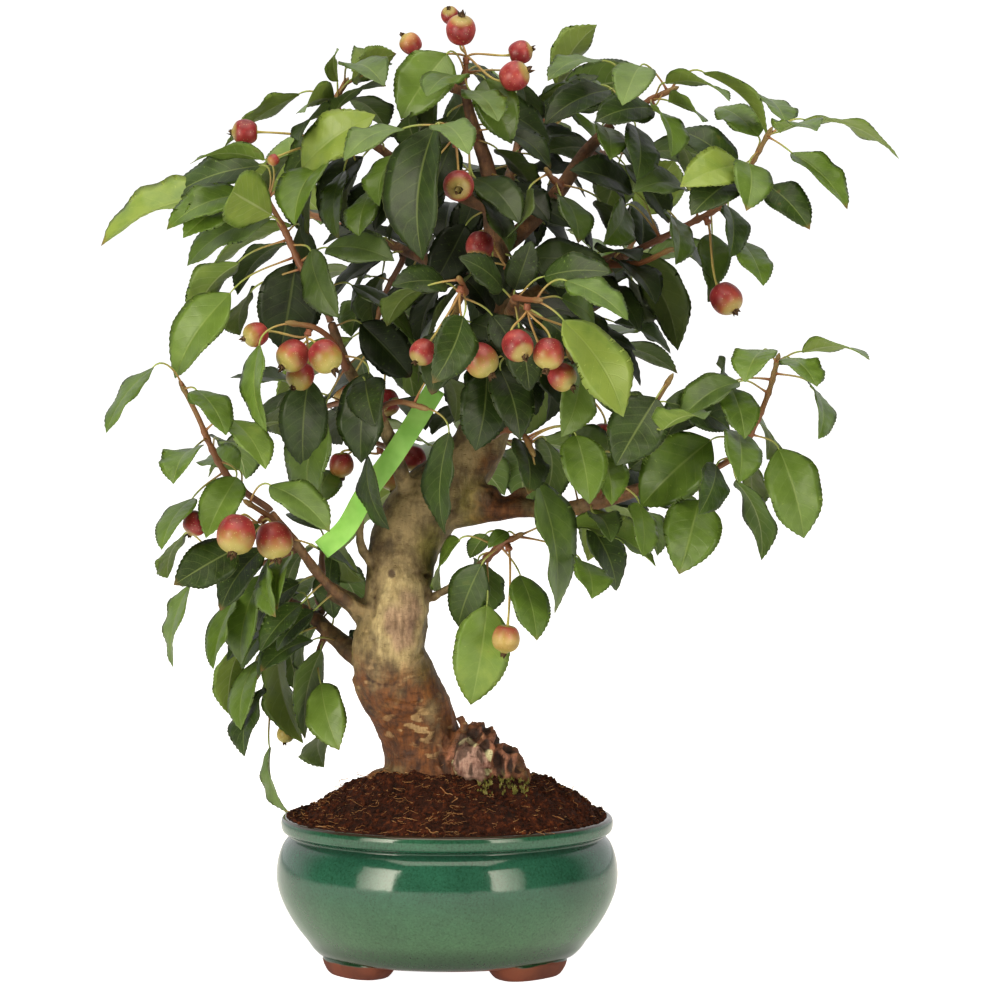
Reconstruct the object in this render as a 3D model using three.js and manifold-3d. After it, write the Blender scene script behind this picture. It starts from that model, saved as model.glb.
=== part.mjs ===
// Crabapple bonsai in a round glazed pot. Millimetres, +Z up, the front faces -Y.
// Grown shapes are set out on a front elevation: x to the right and y down in drawing
// units, and a depth in mm that is negative towards the front.
import * as THREE from 'three';
import Module from 'manifold-3d';
import { mergeVertices } from 'three/addons/utils/BufferGeometryUtils.js';

const wasm = await Module();
wasm.setup();

const UNIT = 0.6;            // mm in one drawing unit
const AXIS_X = 447;          // the pot's axis on the elevation
const TABLE_Y = 973;         // the table's line on the elevation
const VIEW_TILT = 0.11;      // the elevation looks down by this slope
const GAP = 0.35;            // clear space between neighbouring pieces

// The pot: radius and height down its outside and inside, and its four lug feet.
const POT = { sides: 20, floor: 14, drain: 9 };
const POT_OUTSIDE = [[74, 9], [84, 18], [91, 27], [97, 37], [102, 47.5], [103, 57], [101, 68],
  [94.5, 78.5], [98.8, 82], [100, 90], [98.5, 92]];
const POT_INSIDE = [[93, 92], [91, 86], [93, 52], [86, 30], [72, 16.5]];
const FOOT = { turns: [-148, -40, 40, 148], out: 61, deep: 15.5, wide: 29, square: 0.62, sides: 10 };
const FOOT_RINGS = [[0, 0.72], [3.5, 0.92], [9, 1], [15, 0.94]];

// The soil: clear of the pot's inside, mounded round the trunk, with low lumps.
const SOIL_SIDE = [[0, 14.4], [71.4, 16.9], [85.4, 30.3], [92.3, 52], [90.3, 88]];
const MOUND = { rings: [86, 72, 46, 0], edge: 87, height: 38, reach: 95, offset: 4, round: 0.78 };
const LUMPS = { broad: 1.6, fine: 0.9 };

const TRUNK_SIDES = 9;
const TRUNK_RINGS = 18;
const LIMB_SIDES = 5;
const STUB_SIDES = 6;
const FLARE = { top: 4.5, ribs: 0.1, wander: 0.045 };

const TWIG = { root: 2.7, end: 1.7, sides: 4 };
// Blades seen wider than `folds` drawing units are folded along the midrib.
const LEAF = { thick: 0.8, length: 50, petiole: 16, stalk: 0.75, folds: 56, lean: 0.86, clear: 0.25,
  bend: 2.1 };
// A leaf set by rule turns this far round its twig from the one before it.
const RULED = { first: 0.3, turn: 2.4, stray: 0.9, swing: 0.06, forward: 0.45, outward: 0.5,
  grow: 0.25, droop: 0.1, sag: 0.25, broad: 0.54, broader: 0.08 };
// A shoot's seat is looked for in steps out from the limb's centreline.
const SEAT = { step: 0.1, clear: 0.2, reach: 40, rise: 2.5 };
// The outline, radius and height, of the room over pot and soil that no leaf may enter.
const POT_GUARD = [[0, 0], [104, 0], [104, 60], [101, 94], [92, 103], [60, 119], [0, 129]];
const FRUIT = { sides: 6, stalk: 0.8 };
const FRUIT_PROFILE = [[0, -0.82], [0.78, -0.66], [0.95, 0.4], [0.3, 1.12], [0, 0.94]];
const KNOB = { root: 2, end: 2.3, length: 3.4, sides: 5 };
const TAG = { width: 12.5, thick: 0.9, rings: 10 };

const UP = new THREE.Vector3(0, 0, 1);
const FRONT = new THREE.Vector3(0, -1, 0);
const vec = (x, y, z) => new THREE.Vector3(x, y, z);

function onElevation(x, y, depth) {
  return vec(UNIT * (x - AXIS_X), depth, UNIT * (TABLE_Y - y) - VIEW_TILT * depth);
}

// ---------------------------------------------------------------- readings

// Each row: x, y, depth, diameter in mm.
const TRUNK = [
  [436, 872, 0, 24], [433, 850, 0, 40], [431, 826, 0, 54], [430, 800, 0, 56], [428, 778, 0, 53],
  [422, 745, 0, 48], [411, 712, -3, 49], [394, 678, -8, 51], [388, 650, -10, 45], [394, 620, -9, 42],
  [399, 590, -7, 41], [401, 560, -3, 42], [411, 530, 2, 45], [432, 500, 4, 44], [456, 476, 6, 37],
  [477, 448, 8, 32], [491, 410, 8, 28], [500, 366, 8, 24], [503, 320, 6, 19.5], [500, 280, 4, 16],
  [495, 240, 3, 13.5], [492, 200, 1, 11.5], [487, 165, 0, 9.5], [475, 130, 0, 8], [468, 104, 0, 6.5],
  [464, 84, 0, 5.4],
];

const LIMBS = {
  right_low: [[440, 512, 2, 24], [474, 512, -4, 17], [515, 508, -14, 12.5], [560, 510, -22, 10.5],
    [605, 500, -28, 9.5], [645, 487, -32, 8]],
  left_high: [[410, 505, 0, 12], [400, 468, -14, 10], [386, 430, -24, 8.5], [364, 395, -30, 7.5],
    [346, 362, -34, 7], [332, 322, -36, 6]],
  left_low: [[388, 622, -12, 9], [352, 605, -24, 7.5], [322, 578, -30, 6.5], [300, 548, -34, 6],
    [272, 512, -36, 5]],
  left_back: [[378, 672, 0, 16], [340, 643, 18, 12], [312, 618, 34, 9], [290, 604, 44, 7]],
  right_high: [[498, 315, 6, 15], [545, 290, 10, 12], [590, 268, 16, 10], [622, 255, 18, 8]],
  top_right: [[494, 252, 3, 12], [530, 222, 8, 10.5], [560, 188, 12, 9.5], [586, 150, 16, 8],
    [612, 122, 18, 6.5]],
  front: [[502, 345, 6, 13], [508, 325, -30, 10], [513, 308, -66, 8], [515, 300, -88, 6.5]],
  front_left: [[496, 372, 6, 12], [478, 356, -6, 9], [462, 342, -18, 7.5], [454, 322, -42, 6.5],
    [458, 303, -64, 6], [464, 294, -80, 5]],
  back_right: [[500, 370, 10, 14], [530, 345, 45, 10], [570, 318, 85, 8], [600, 300, 115, 6]],
  back_left: [[498, 300, 8, 13], [450, 270, 45, 9], [400, 245, 85, 7], [360, 230, 110, 5.5]],
  back_low: [[446, 482, 8, 15], [455, 455, 42, 11], [470, 440, 78, 9], [480, 430, 108, 6.5]],
  back_top: [[493, 230, 3, 11], [505, 190, 35, 8], [515, 155, 62, 6.5], [520, 130, 84, 5]],
  left_top: [[491, 206, 1, 10], [450, 190, 2, 8], [410, 168, 2, 6.5], [370, 140, 6, 5.5],
    [345, 122, 10, 5]],
  right_twig: [[418, 606, -10, 5.4], [455, 585, -22, 4.6], [485, 560, -32, 4]],
};

// The plastic tag's line: x, y and depth.
const TAG_PATH = [[436, 388, -24], [414, 424, -27], [392, 458, -30], [366, 494, -33], [345, 530, -36],
  [322, 550, -38]];

// Short pruned ends: x, y, depth, diameter at the root, the bend and the cut.
const STUBS = {
  left_cut: [[385, 640, -10, 16], [352, 605, -2, 12], [330, 590, 4, 10.5]],
  left_thin: [[384, 580, -12, 7], [362, 548, -16, 5.5], [361, 508, -18, 4]],
  right_dead: [[505, 508, -6, 9], [520, 494, -10, 7], [533, 487, -12, 5.5]],
  apex_cut: [[466, 92, 0, 6], [456, 88, -6, 6.4], [450, 87, -9, 6.4]],
  burl_thin: [[470, 745, -20, 8], [464, 728, -24, 6.5], [459, 717, -25, 5.5]],
};

// The burl and root knobs: x, y, depth, and radii across, in depth and in height, in mm.
const KNOBS = [
  [476, 759, -14, 18, 15, 21], [500, 766, -16, 13, 12, 12], [514, 782, -14, 10, 11, 9],
  [386, 790, -8, 15, 15, 12], [440, 800, -22, 14, 12, 12],
  [484, 497, -6, 10, 8, 8],
];

// Each leaf: x and y of the blade's foot, x and y of its tip, the width seen, the side its
// tip leans to (-1 to the front, 1 to the back), and the true length in mm where it is small.
// Each fruit: x, y, depth, radius in drawing units, and the calyx's x and y.
const SPRAYS = {
  left_top: {
    on: 'left_high',
    twig: [[318, 290, -34], [300, 262, -30], [288, 235, -26], [276, 212, -22], [268, 198, -20]],
    leaves: [[222, 197, 101, 241, 22, -1], [262, 165, 168, 193, 30, 1], [266, 160, 193, 157, 18, -1],
      [250, 195, 170, 226, 15, -1], [303, 168, 372, 112, 40, -1], [238, 205, 187, 236, 16, -1],
      [272, 218, 187, 263, 26, -1], [297, 262, 279, 350, 64, -1], [312, 250, 339, 318, 35, -1],
      [328, 248, 393, 255, 27, -1], [232, 293, 172, 376, 45, -1], [240, 262, 190, 318, 30, 1],
      [252, 292, 235, 331, 14, 1], [352, 285, 418, 340, 18, -1],
      [286, 242, 236, 290, 28, 1], [300, 224, 318, 258, 26, 1]],
    fill: 1,
  },
  upper_left: {
    on: 'left_top',
    twig: [[340, 113, 12], [336, 100, 14], [345, 82, 16]],
    leaves: [[335, 97, 305, 110, 28, -1], [300, 92, 223, 142, 20, -1], [330, 112, 297, 135, 25, -1],
      [349, 66, 386, 80, 14, -1], [338, 80, 337, 47, 12, -1, 28], [380, 60, 352, 62, 30, 1],
      [333, 112, 386, 82, 14, -1],
      [352, 78, 394, 50, 28, 1], [346, 96, 386, 122, 26, 1]],
  },
  upper_left_inner: {
    on: 'left_top', from: [412, 169, 2],
    twig: [[404, 166, -14], [396, 158, -28]],
    leaves: [[395, 155, 380, 205, 25, -1], [372, 190, 360, 235, 28, -1]],
  },
  left_fruit: {
    on: 'left_top', from: [368, 139, 6],
    twig: [[345, 150, -8], [318, 152, -14]],
    leaves: [[312, 168, 304, 232, 24, 1], [345, 170, 338, 238, 26, -1], [300, 150, 262, 196, 20, 1],
      [356, 165, 349, 228, 22, 1]],
    fruit: [[247, 132, -22, 13, 229, 132], [275, 160, -30, 6, 268, 165]],
    fill: 1,
  },
  leader: {
    on: 'trunk',
    twig: [[465, 73, 0], [466, 63, 0]],
    leaves: [[447, 53, 402, 118, 55, -1], [460, 78, 428, 95, 16, -1], [470, 90, 500, 120, 20, -1],
      [485, 78, 512, 143, 30, -1], [522, 80, 526, 123, 25, 1], [445, 80, 430, 128, 24, 1],
      [462, 84, 446, 126, 24, 1], [478, 66, 500, 98, 20, 1]],
    fruit: [[411, 42, 14, 11, 403, 33], [461, 30, -12, 15, 462, 17], [450, 14, 8, 9, 449, 8],
      [520, 51, 5, 12, 534, 47], [514, 76, -18, 15, 527, 70]],
    fruit_at: 1,
  },
  centre_top: {
    on: 'trunk', from: [477, 136, 0],
    twig: [[459, 140, -34], [448, 128, -86]],
    leaves: [[436, 128, 418, 262, 54, -1], [440, 128, 470, 155, 25, -1],
      [475, 192, 513, 250, 14, -1], [475, 178, 520, 222, 30, -1], [497, 148, 535, 187, 25, 1],
      [425, 180, 400, 245, 28, 1], [405, 132, 345, 158, 14, -1]],
    fruit: [[459, 187, -66, 15.5, 459, 189]],
  },
  centre_right: {
    on: 'trunk', from: [500, 288, 4],
    twig: [[510, 276, -30], [520, 262, -58]],
    leaves: [[527, 258, 613, 268, 40, -1], [533, 318, 565, 342, 16, -1],
      [472, 273, 412, 380, 20, -1]],
    fruit: [[480, 245, -30, 14, 478, 257]],
  },
  front_centre: {
    on: 'front',
    twig: [[524, 301, -98], [537, 302, -106]],
    leaves: [[562, 322, 627, 414, 45, -1], [560, 300, 600, 332, 24, 1],
      [565, 283, 626, 318, 25, -1]],
    fruit: [[517, 347, -126, 15.5, 523, 355], [548, 355, -122, 15.5, 546, 368],
      [580, 350, -106, 15, 576, 359], [561, 378, -114, 14, 570, 386]],
  },
  front_low: {
    on: 'front', from: [510, 318, -44],
    twig: [[516, 340, -54], [522, 358, -62], [536, 372, -68]],
    leaves: [[487, 372, 478, 450, 50, -1], [500, 370, 521, 437, 40, -1],
      [580, 365, 565, 436, 34, -1], [600, 395, 636, 420, 26, 1]],
    fill: 1,
  },
  front_left: {
    on: 'front_left',
    twig: [[463, 286, -90], [460, 281, -98]],
    leaves: [[464, 318, 438, 382, 45, -1], [425, 290, 387, 320, 26, 1]],
    fruit: [[481, 361, -92, 17, 490, 373], [424, 353, -98, 13, 418, 361]],
  },
  left_mid_fruit: {
    on: 'left_high', from: [347, 364, -34],
    twig: [[334, 342, -48], [316, 328, -60], [294, 324, -66]],
    leaves: [[310, 378, 302, 468, 48, 1], [325, 412, 305, 520, 24, -1], [370, 372, 357, 463, 47, -1],
      [262, 345, 262, 432, 24, -1]],
    fruit: [[258, 335, -60, 12.5, 248, 338], [295, 356, -72, 16, 286, 365],
      [327, 357, -86, 16.5, 335, 368], [302, 376, -52, 14, 296, 385]],
  },
  left_mid: {
    on: 'left_low',
    twig: [[246, 492, -38], [226, 472, -38], [212, 446, -36], [200, 418, -34], [184, 386, -32]],
    leaves: [[156, 367, 106, 431, 25, -1], [198, 390, 228, 434, 30, -1],
      [235, 420, 268, 463, 30, -1], [197, 448, 173, 478, 20, -1], [240, 470, 202, 456, 25, 1],
      [238, 477, 210, 536, 40, -1], [195, 498, 164, 546, 22, -1],
      [218, 440, 244, 474, 22, 1]],
  },
  left_low_fruit: {
    on: 'left_low', from: [291, 536, -35],
    twig: [[272, 518, -52], [250, 503, -64]],
    leaves: [[240, 548, 176, 582, 45, -1], [272, 485, 331, 530, 28, -1],
      [318, 548, 366, 582, 25, 1]],
    fruit: [[198, 523, -58, 12.5, 192, 534], [239, 534, -82, 19.5, 236, 549],
      [276, 540, -66, 18.5, 279, 556]],
  },
  left_low_outer: {
    on: 'left_low', from: [300, 548, -34],
    twig: [[280, 558, -20], [250, 567, -8], [222, 574, 0]],
    leaves: [[183, 535, 163, 575, 16, 1], [190, 585, 170, 668, 18, -1], [235, 598, 213, 668, 22, -1],
      [262, 575, 240, 666, 28, 1], [293, 555, 275, 605, 18, -1], [270, 558, 272, 615, 28, -1]],
  },
  low_left: {
    on: 'left_back',
    twig: [[276, 614, 49], [269, 640, 50], [266, 680, 48], [268, 716, 48]],
    leaves: [[240, 645, 220, 715, 30, 1], [255, 662, 238, 730, 25, -1], [262, 690, 242, 757, 45, -1],
      [275, 640, 297, 748, 26, -1], [268, 750, 283, 820, 16, -1],
      [288, 628, 292, 692, 34, 1], [296, 612, 262, 656, 30, 1]],
    fruit: [[227, 702, 76, 9, 224, 710], [283, 738, 80, 9, 282, 746]],
    fill: 1,
  },
  low_left_inner: {
    on: 'left_back', from: [325, 630, 26],
    twig: [[318, 652, 34], [312, 678, 40]],
    leaves: [[320, 650, 297, 740, 30, 1], [320, 685, 338, 750, 42, -1], [325, 735, 317, 771, 26, 1]],
  },
  trunk_left: {
    on: 'left_high', from: [378, 416, -27],
    twig: [[382, 408, -46], [400, 402, -60], [424, 408, -68]],
    leaves: [[450, 432, 440, 535, 35, -1], [368, 455, 385, 530, 18, -1],
      [440, 372, 458, 418, 26, 1]],
  },
  behind_left: {
    on: 'left_high', from: [394, 452, -17],
    twig: [[379, 444, 18], [372, 438, 44]],
    leaves: [[330, 470, 312, 506, 22, -1]],
    fruit: [[341, 464, 26, 12.5, 342, 478], [392, 477, 40, 13, 392, 489],
      [413, 458, 58, 13, 414, 470]],
  },
  right_twig: {
    on: 'right_twig',
    twig: [[503, 544, -38], [518, 536, -42]],
    leaves: [[520, 575, 540, 636, 35, -1], [487, 605, 473, 706, 50, -1], [460, 540, 435, 592, 24, 1],
      [580, 560, 594, 594, 22, -1], [478, 560, 482, 618, 30, 1], [565, 525, 657, 563, 24, -1],
      [482, 564, 456, 628, 32, 1], [486, 534, 470, 558, 20, 1, 22],
      [508, 532, 488, 546, 14, -1, 20]],
    fruit: [[506, 638, -66, 14, 504, 653]],
  },
  front_right_low: {
    on: 'trunk', from: [484, 432, 8],
    twig: [[505, 430, -30], [524, 436, -58], [532, 452, -70]],
    leaves: [[537, 480, 562, 613, 60, -1], [575, 435, 590, 500, 45, -1], [545, 440, 548, 500, 34, 1],
      [520, 440, 532, 490, 26, -1], [570, 430, 610, 470, 36, 1]],
  },
  right_low_inner: {
    on: 'right_low', from: [602, 501, -28],
    twig: [[613, 478, -44], [630, 446, -56], [650, 410, -62], [668, 380, -60]],
    leaves: [[638, 503, 643, 555, 28, -1], [655, 398, 615, 465, 60, -1],
      [600, 455, 612, 500, 26, -1], [660, 430, 700, 412, 30, -1],
      [664, 402, 732, 428, 34, 1], [664, 436, 712, 404, 26, 1]],
  },
  right_low: {
    on: 'right_low',
    twig: [[682, 477, -36], [712, 469, -38], [738, 452, -38], [756, 420, -36], [768, 390, -34],
      [776, 360, -32]],
    leaves: [[800, 352, 867, 357, 18, -1], [787, 358, 813, 385, 25, -1],
      [808, 385, 821, 435, 16, -1], [762, 350, 740, 376, 25, -1], [718, 390, 722, 362, 18, 1],
      [738, 382, 676, 417, 28, -1], [730, 388, 742, 436, 36, -1], [757, 420, 772, 458, 14, 1],
      [777, 448, 805, 538, 56, -1], [737, 432, 735, 480, 42, -1], [710, 440, 638, 505, 65, -1],
      [715, 465, 703, 513, 32, -1], [698, 500, 677, 571, 62, -1], [735, 480, 765, 557, 28, 1],
      [744, 455, 752, 506, 26, 1]],
  },
  right_high: {
    on: 'right_high',
    twig: [[655, 240, 14], [690, 222, 10], [722, 203, 6], [745, 172, 2], [768, 132, -2]],
    leaves: [[802, 119, 900, 153, 18, -1], [785, 120, 765, 91, 22, 1], [778, 132, 813, 130, 15, -1],
      [790, 152, 847, 203, 25, -1], [768, 185, 806, 226, 35, -1], [748, 163, 745, 207, 42, -1],
      [758, 135, 720, 98, 30, 1], [735, 168, 676, 122, 30, 1], [740, 165, 682, 187, 30, -1],
      [735, 178, 692, 215, 30, -1], [727, 205, 731, 258, 28, -1], [740, 240, 765, 280, 27, -1],
      [712, 232, 713, 287, 26, -1], [667, 212, 680, 262, 20, -1], [625, 205, 608, 244, 34, -1],
      [632, 190, 572, 168, 28, -1], [682, 185, 634, 190, 26, -1],
      [642, 246, 640, 196, 34, 1]],
    fruit: [[725, 298, -18, 16, 733, 308]],
    fruit_at: 0.5,
  },
  right_high_inner: {
    on: 'right_high', from: [608, 261, 17],
    twig: [[640, 262, -8], [668, 250, -22]],
    leaves: [[630, 250, 683, 347, 45, -1], [632, 278, 645, 318, 24, 1], [690, 255, 712, 300, 22, 1]],
  },
  top_right: {
    on: 'top_right',
    twig: [[634, 108, 16], [650, 98, 14], [672, 88, 12]],
    leaves: [[600, 60, 546, 76, 8, -1], [600, 83, 536, 97, 8, 1], [640, 65, 620, 103, 40, -1],
      [665, 82, 728, 98, 16, -1], [668, 100, 702, 120, 18, -1], [703, 71, 773, 133, 18, -1],
      [652, 106, 598, 118, 28, -1], [610, 88, 545, 120, 28, -1], [652, 108, 675, 155, 16, -1],
      [635, 125, 640, 178, 32, -1], [602, 125, 612, 158, 26, -1],
      [676, 138, 690, 186, 22, 1]],
  },
  centre_high_right: {
    on: 'top_right', from: [562, 186, 12],
    twig: [[552, 178, -14], [546, 170, -32]],
    leaves: [[600, 200, 622, 240, 34, 1], [528, 190, 512, 240, 24, -1],
      [560, 195, 578, 240, 26, -1],
      [548, 182, 532, 214, 24, 1]],
  },
  back_right: {
    on: 'back_right',
    twig: [[622, 262, 128], [640, 226, 140]],
    fill: 4,
  },
  back_right_low: {
    on: 'back_right', from: [570, 318, 85],
    twig: [[580, 352, 104], [586, 384, 120]],
    fruit: [[640, 424, 140, 14, 644, 437], [606, 436, 150, 15, 604, 450]],
    fruit_at: 1,
    fill: 4,
  },
  back_left: {
    on: 'back_left',
    twig: [[326, 216, 124], [300, 205, 130]],
    fill: 4,
  },
  back_left_mid: {
    on: 'back_left', from: [402, 246, 84],
    twig: [[384, 290, 106], [372, 330, 122]],
    leaves: [[408, 325, 398, 385, 24, 1],
      [370, 290, 344, 326, 30, 1], [392, 320, 412, 392, 34, 1], [372, 338, 362, 384, 26, 1]],
    fruit: [[346, 390, 134, 15, 342, 404], [384, 400, 148, 14, 386, 413]],
    fill: 3,
  },
  back_low: {
    on: 'back_low',
    twig: [[500, 438, 128], [520, 446, 146]],
    fill: 3,
    leaves: [[514, 448, 522, 508, 36, 1]],
  },
  back_low_left: {
    on: 'back_low', from: [470, 440, 78],
    twig: [[444, 458, 100], [420, 478, 122]],
    fill: 4,
  },
  back_top: {
    on: 'back_top',
    twig: [[534, 112, 98], [548, 100, 108]],
    leaves: [[585, 82, 636, 51, 28, 1]],
    fruit: [[566, 98, 122, 13, 568, 87], [590, 84, 128, 14, 602, 80]],
    fill: 4,
  },
  back_top_left: {
    on: 'back_top', from: [506, 188, 36],
    twig: [[468, 172, 66], [440, 158, 90]],
    leaves: [[518, 178, 555, 222, 22, 1], [520, 200, 526, 246, 24, -1]],
    fill: 3,
  },
  back_right_high: {
    on: 'top_right', from: [588, 148, 16],
    twig: [[606, 150, 50], [628, 146, 82]],
    fill: 3,
    leaves: [[598, 148, 548, 142, 34, 1]],
  },
  back_left_low: {
    on: 'left_high', from: [366, 398, -30],
    twig: [[332, 404, 14], [302, 412, 50]],
    leaves: [[290, 388, 268, 426, 24, 1], [290, 400, 276, 430, 24, 1], [350, 400, 338, 440, 26, 1]],
    fill: 3,
  },
  back_right_base: {
    on: 'right_low', from: [562, 510, -22],
    twig: [[586, 500, 22], [612, 490, 62]],
    fill: 3,
    leaves: [[604, 502, 646, 522, 26, 1], [630, 506, 664, 552, 24, 1]],
  },
  left_back_top: {
    on: 'left_back', from: [312, 618, 34],
    twig: [[316, 598, 50], [324, 578, 60]],
    leaves: [[328, 566, 362, 606, 36, 1], [310, 578, 284, 612, 30, 1], [322, 592, 302, 642, 28, 1]],
  },
  left_low_back: {
    on: 'left_low', from: [322, 578, -30],
    twig: [[322, 556, -8], [328, 538, 10]],
    leaves: [[320, 530, 294, 506, 26, 1], [336, 532, 354, 580, 26, 1], [306, 548, 282, 592, 26, 1]],
  },
  back_centre: {
    on: 'back_left', from: [430, 258, 60],
    twig: [[444, 242, 72], [454, 228, 82]],
    leaves: [[460, 220, 472, 270, 36, 1], [440, 250, 418, 300, 32, 1], [464, 250, 482, 334, 36, 1],
      [438, 230, 408, 262, 26, 1]],
  },
  back_right_inner: {
    on: 'back_right', from: [530, 345, 45],
    twig: [[538, 318, 64], [544, 298, 80]],
    leaves: [[540, 284, 514, 262, 28, 1], [554, 298, 594, 316, 30, 1], [548, 320, 560, 374, 32, 1],
      [530, 310, 504, 346, 26, 1]],
  },
};

// ---------------------------------------------------------------- solids

function solidOf(geometry) {
  const bare = new THREE.BufferGeometry();
  bare.setAttribute('position', geometry.getAttribute('position'));
  bare.setIndex(geometry.getIndex());
  const merged = mergeVertices(bare, 1e-4);
  return new wasm.Manifold(new wasm.Mesh({
    numProp: 3,
    vertProperties: new Float32Array(merged.getAttribute('position').array),
    triVerts: new Uint32Array(merged.getIndex().array),
  }));
}

// The largest body of a solid, with facets too small to see dropped.
function geometryOf(solid) {
  const bodies = solid.decompose();
  bodies.sort((a, b) => b.volume() - a.volume());
  const mesh = bodies[0].getMesh();
  const geometry = new THREE.BufferGeometry();
  geometry.setAttribute('position', new THREE.Float32BufferAttribute(mesh.vertProperties, 3));
  geometry.setIndex(new THREE.Uint32BufferAttribute(mesh.triVerts, 1));
  geometry.computeVertexNormals();
  return geometry;
}

function geometryFrom(points, faces) {
  const geometry = new THREE.BufferGeometry();
  const flat = points.flatMap((p) => p.toArray());
  geometry.setAttribute('position', new THREE.Float32BufferAttribute(flat, 3));
  geometry.setIndex(faces.flat());
  return geometry;
}

// A closed tube through rings of equal count, with its ends capped by fans.
function loft(rings) {
  const sides = rings[0].length;
  const points = rings.flat();
  const faces = [];
  for (let r = 0; r + 1 < rings.length; r++) {
    for (let k = 0; k < sides; k++) {
      const a = r * sides + k;
      const b = r * sides + (k + 1) % sides;
      faces.push([a, b, b + sides], [a, b + sides, a + sides]);
    }
  }
  const last = (rings.length - 1) * sides;
  for (let k = 1; k + 1 < sides; k++) {
    faces.push([0, k + 1, k], [last, last + k, last + k + 1]);
  }
  return geometryFrom(points, faces);
}

// Round rings along a centreline of {point, radius}; the ends may be given face normals.
function tube(stations, sides, startNormal, endNormal, swell = () => 1) {
  const rings = [];
  let side = vec(1, 0.13, 0.07);
  stations.forEach((station, i) => {
    const before = stations[Math.max(i - 1, 0)].point;
    const after = stations[Math.min(i + 1, stations.length - 1)].point;
    let along = after.clone().sub(before).normalize();
    if (i === 0 && startNormal) along = startNormal;
    if (i === stations.length - 1 && endNormal) along = endNormal;
    side = side.clone().addScaledVector(along, -side.dot(along)).normalize();
    const other = along.clone().cross(side);
    const ring = [];
    for (let k = 0; k < sides; k++) {
      const turn = 2 * Math.PI * k / sides;
      const radius = station.radius * swell(i / (stations.length - 1), turn);
      ring.push(station.point.clone()
        .addScaledVector(side, radius * Math.cos(turn))
        .addScaledVector(other, radius * Math.sin(turn)));
    }
    rings.push(ring);
  });
  return loft(rings);
}

const thick = (stations, extra) => stations.map((s) => ({ point: s.point, radius: s.radius + extra }));

const stationsOf = (rows) => rows.map(([x, y, depth, diameter]) => ({
  point: onElevation(x, y, depth), radius: diameter / 2,
}));

// ---------------------------------------------------------------- clearances

// Triangles of a closed geometry, for the test of whether two leaves cross.
function soupOf(geometry) {
  const flat = geometry.getIndex() ? geometry.toNonIndexed() : geometry;
  const p = flat.getAttribute('position').array;
  const box = [Infinity, Infinity, Infinity, -Infinity, -Infinity, -Infinity];
  for (let i = 0; i < p.length; i++) {
    box[i % 3] = Math.min(box[i % 3], p[i]);
    box[3 + i % 3] = Math.max(box[3 + i % 3], p[i]);
  }
  return { p, box };
}

function boxesMeet(a, b) {
  return a[0] < b[3] && b[0] < a[3] && a[1] < b[4] && b[1] < a[4] && a[2] < b[5] && b[2] < a[5];
}

// Whether the edge from q to r pierces the triangle that starts at t.
function pierces(p, t, ax, ay, az, dx, dy, dz) {
  const e1x = p[t + 3] - p[t];
  const e1y = p[t + 4] - p[t + 1];
  const e1z = p[t + 5] - p[t + 2];
  const e2x = p[t + 6] - p[t];
  const e2y = p[t + 7] - p[t + 1];
  const e2z = p[t + 8] - p[t + 2];
  const hx = dy * e2z - dz * e2y;
  const hy = dz * e2x - dx * e2z;
  const hz = dx * e2y - dy * e2x;
  const det = e1x * hx + e1y * hy + e1z * hz;
  if (Math.abs(det) < 1e-12) return false;
  const sx = ax - p[t];
  const sy = ay - p[t + 1];
  const sz = az - p[t + 2];
  const u = (sx * hx + sy * hy + sz * hz) / det;
  if (u < 0 || u > 1) return false;
  const qx = sy * e1z - sz * e1y;
  const qy = sz * e1x - sx * e1z;
  const qz = sx * e1y - sy * e1x;
  const v = (dx * qx + dy * qy + dz * qz) / det;
  if (v < 0 || u + v > 1) return false;
  const w = (e2x * qx + e2y * qy + e2z * qz) / det;
  return w >= 0 && w <= 1;
}

function edgesPierce(a, b) {
  for (let i = 0; i < a.p.length; i += 9) {
    for (let e = 0; e < 3; e++) {
      const s = i + 3 * e;
      const f = i + 3 * ((e + 1) % 3);
      const [sx, sy, sz] = [a.p[s], a.p[s + 1], a.p[s + 2]];
      const [fx, fy, fz] = [a.p[f], a.p[f + 1], a.p[f + 2]];
      if (Math.max(sx, fx) < b.box[0] || Math.min(sx, fx) > b.box[3]
        || Math.max(sy, fy) < b.box[1] || Math.min(sy, fy) > b.box[4]
        || Math.max(sz, fz) < b.box[2] || Math.min(sz, fz) > b.box[5]) continue;
      for (let t = 0; t < b.p.length; t += 9) {
        if (pierces(b.p, t, sx, sy, sz, fx - sx, fy - sy, fz - sz)) return true;
      }
    }
  }
  return false;
}

const crosses = (a, b) => boxesMeet(a.box, b.box) && (edgesPierce(a, b) || edgesPierce(b, a));

// Everything placed so far: {soup, of} where `of` names the node it belongs to.
const placed = [];

// ---------------------------------------------------------------- pot and soil

function revolve(profile, sides) {
  const outline = profile.map(([r, z]) => new THREE.Vector2(r, z));
  const geometry = new THREE.LatheGeometry(outline, sides);
  geometry.rotateX(Math.PI / 2);
  return geometry;
}

// A level ring of a foot: a rounded block that follows the turn of the pot's base.
function footRing(middle, height, share) {
  const ring = [];
  for (let k = 0; k < FOOT.sides; k++) {
    const turn = 2 * Math.PI * (k + 0.5) / FOOT.sides;
    const [deep, wide] = [Math.cos(turn), Math.sin(turn)]
      .map((v) => Math.sign(v) * Math.abs(v) ** FOOT.square);
    const radius = FOOT.out + FOOT.deep * share * deep;
    const angle = middle + FOOT.wide / FOOT.out * share * wide;
    ring.push(vec(radius * Math.cos(angle), radius * Math.sin(angle), height));
  }
  return ring;
}

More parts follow.
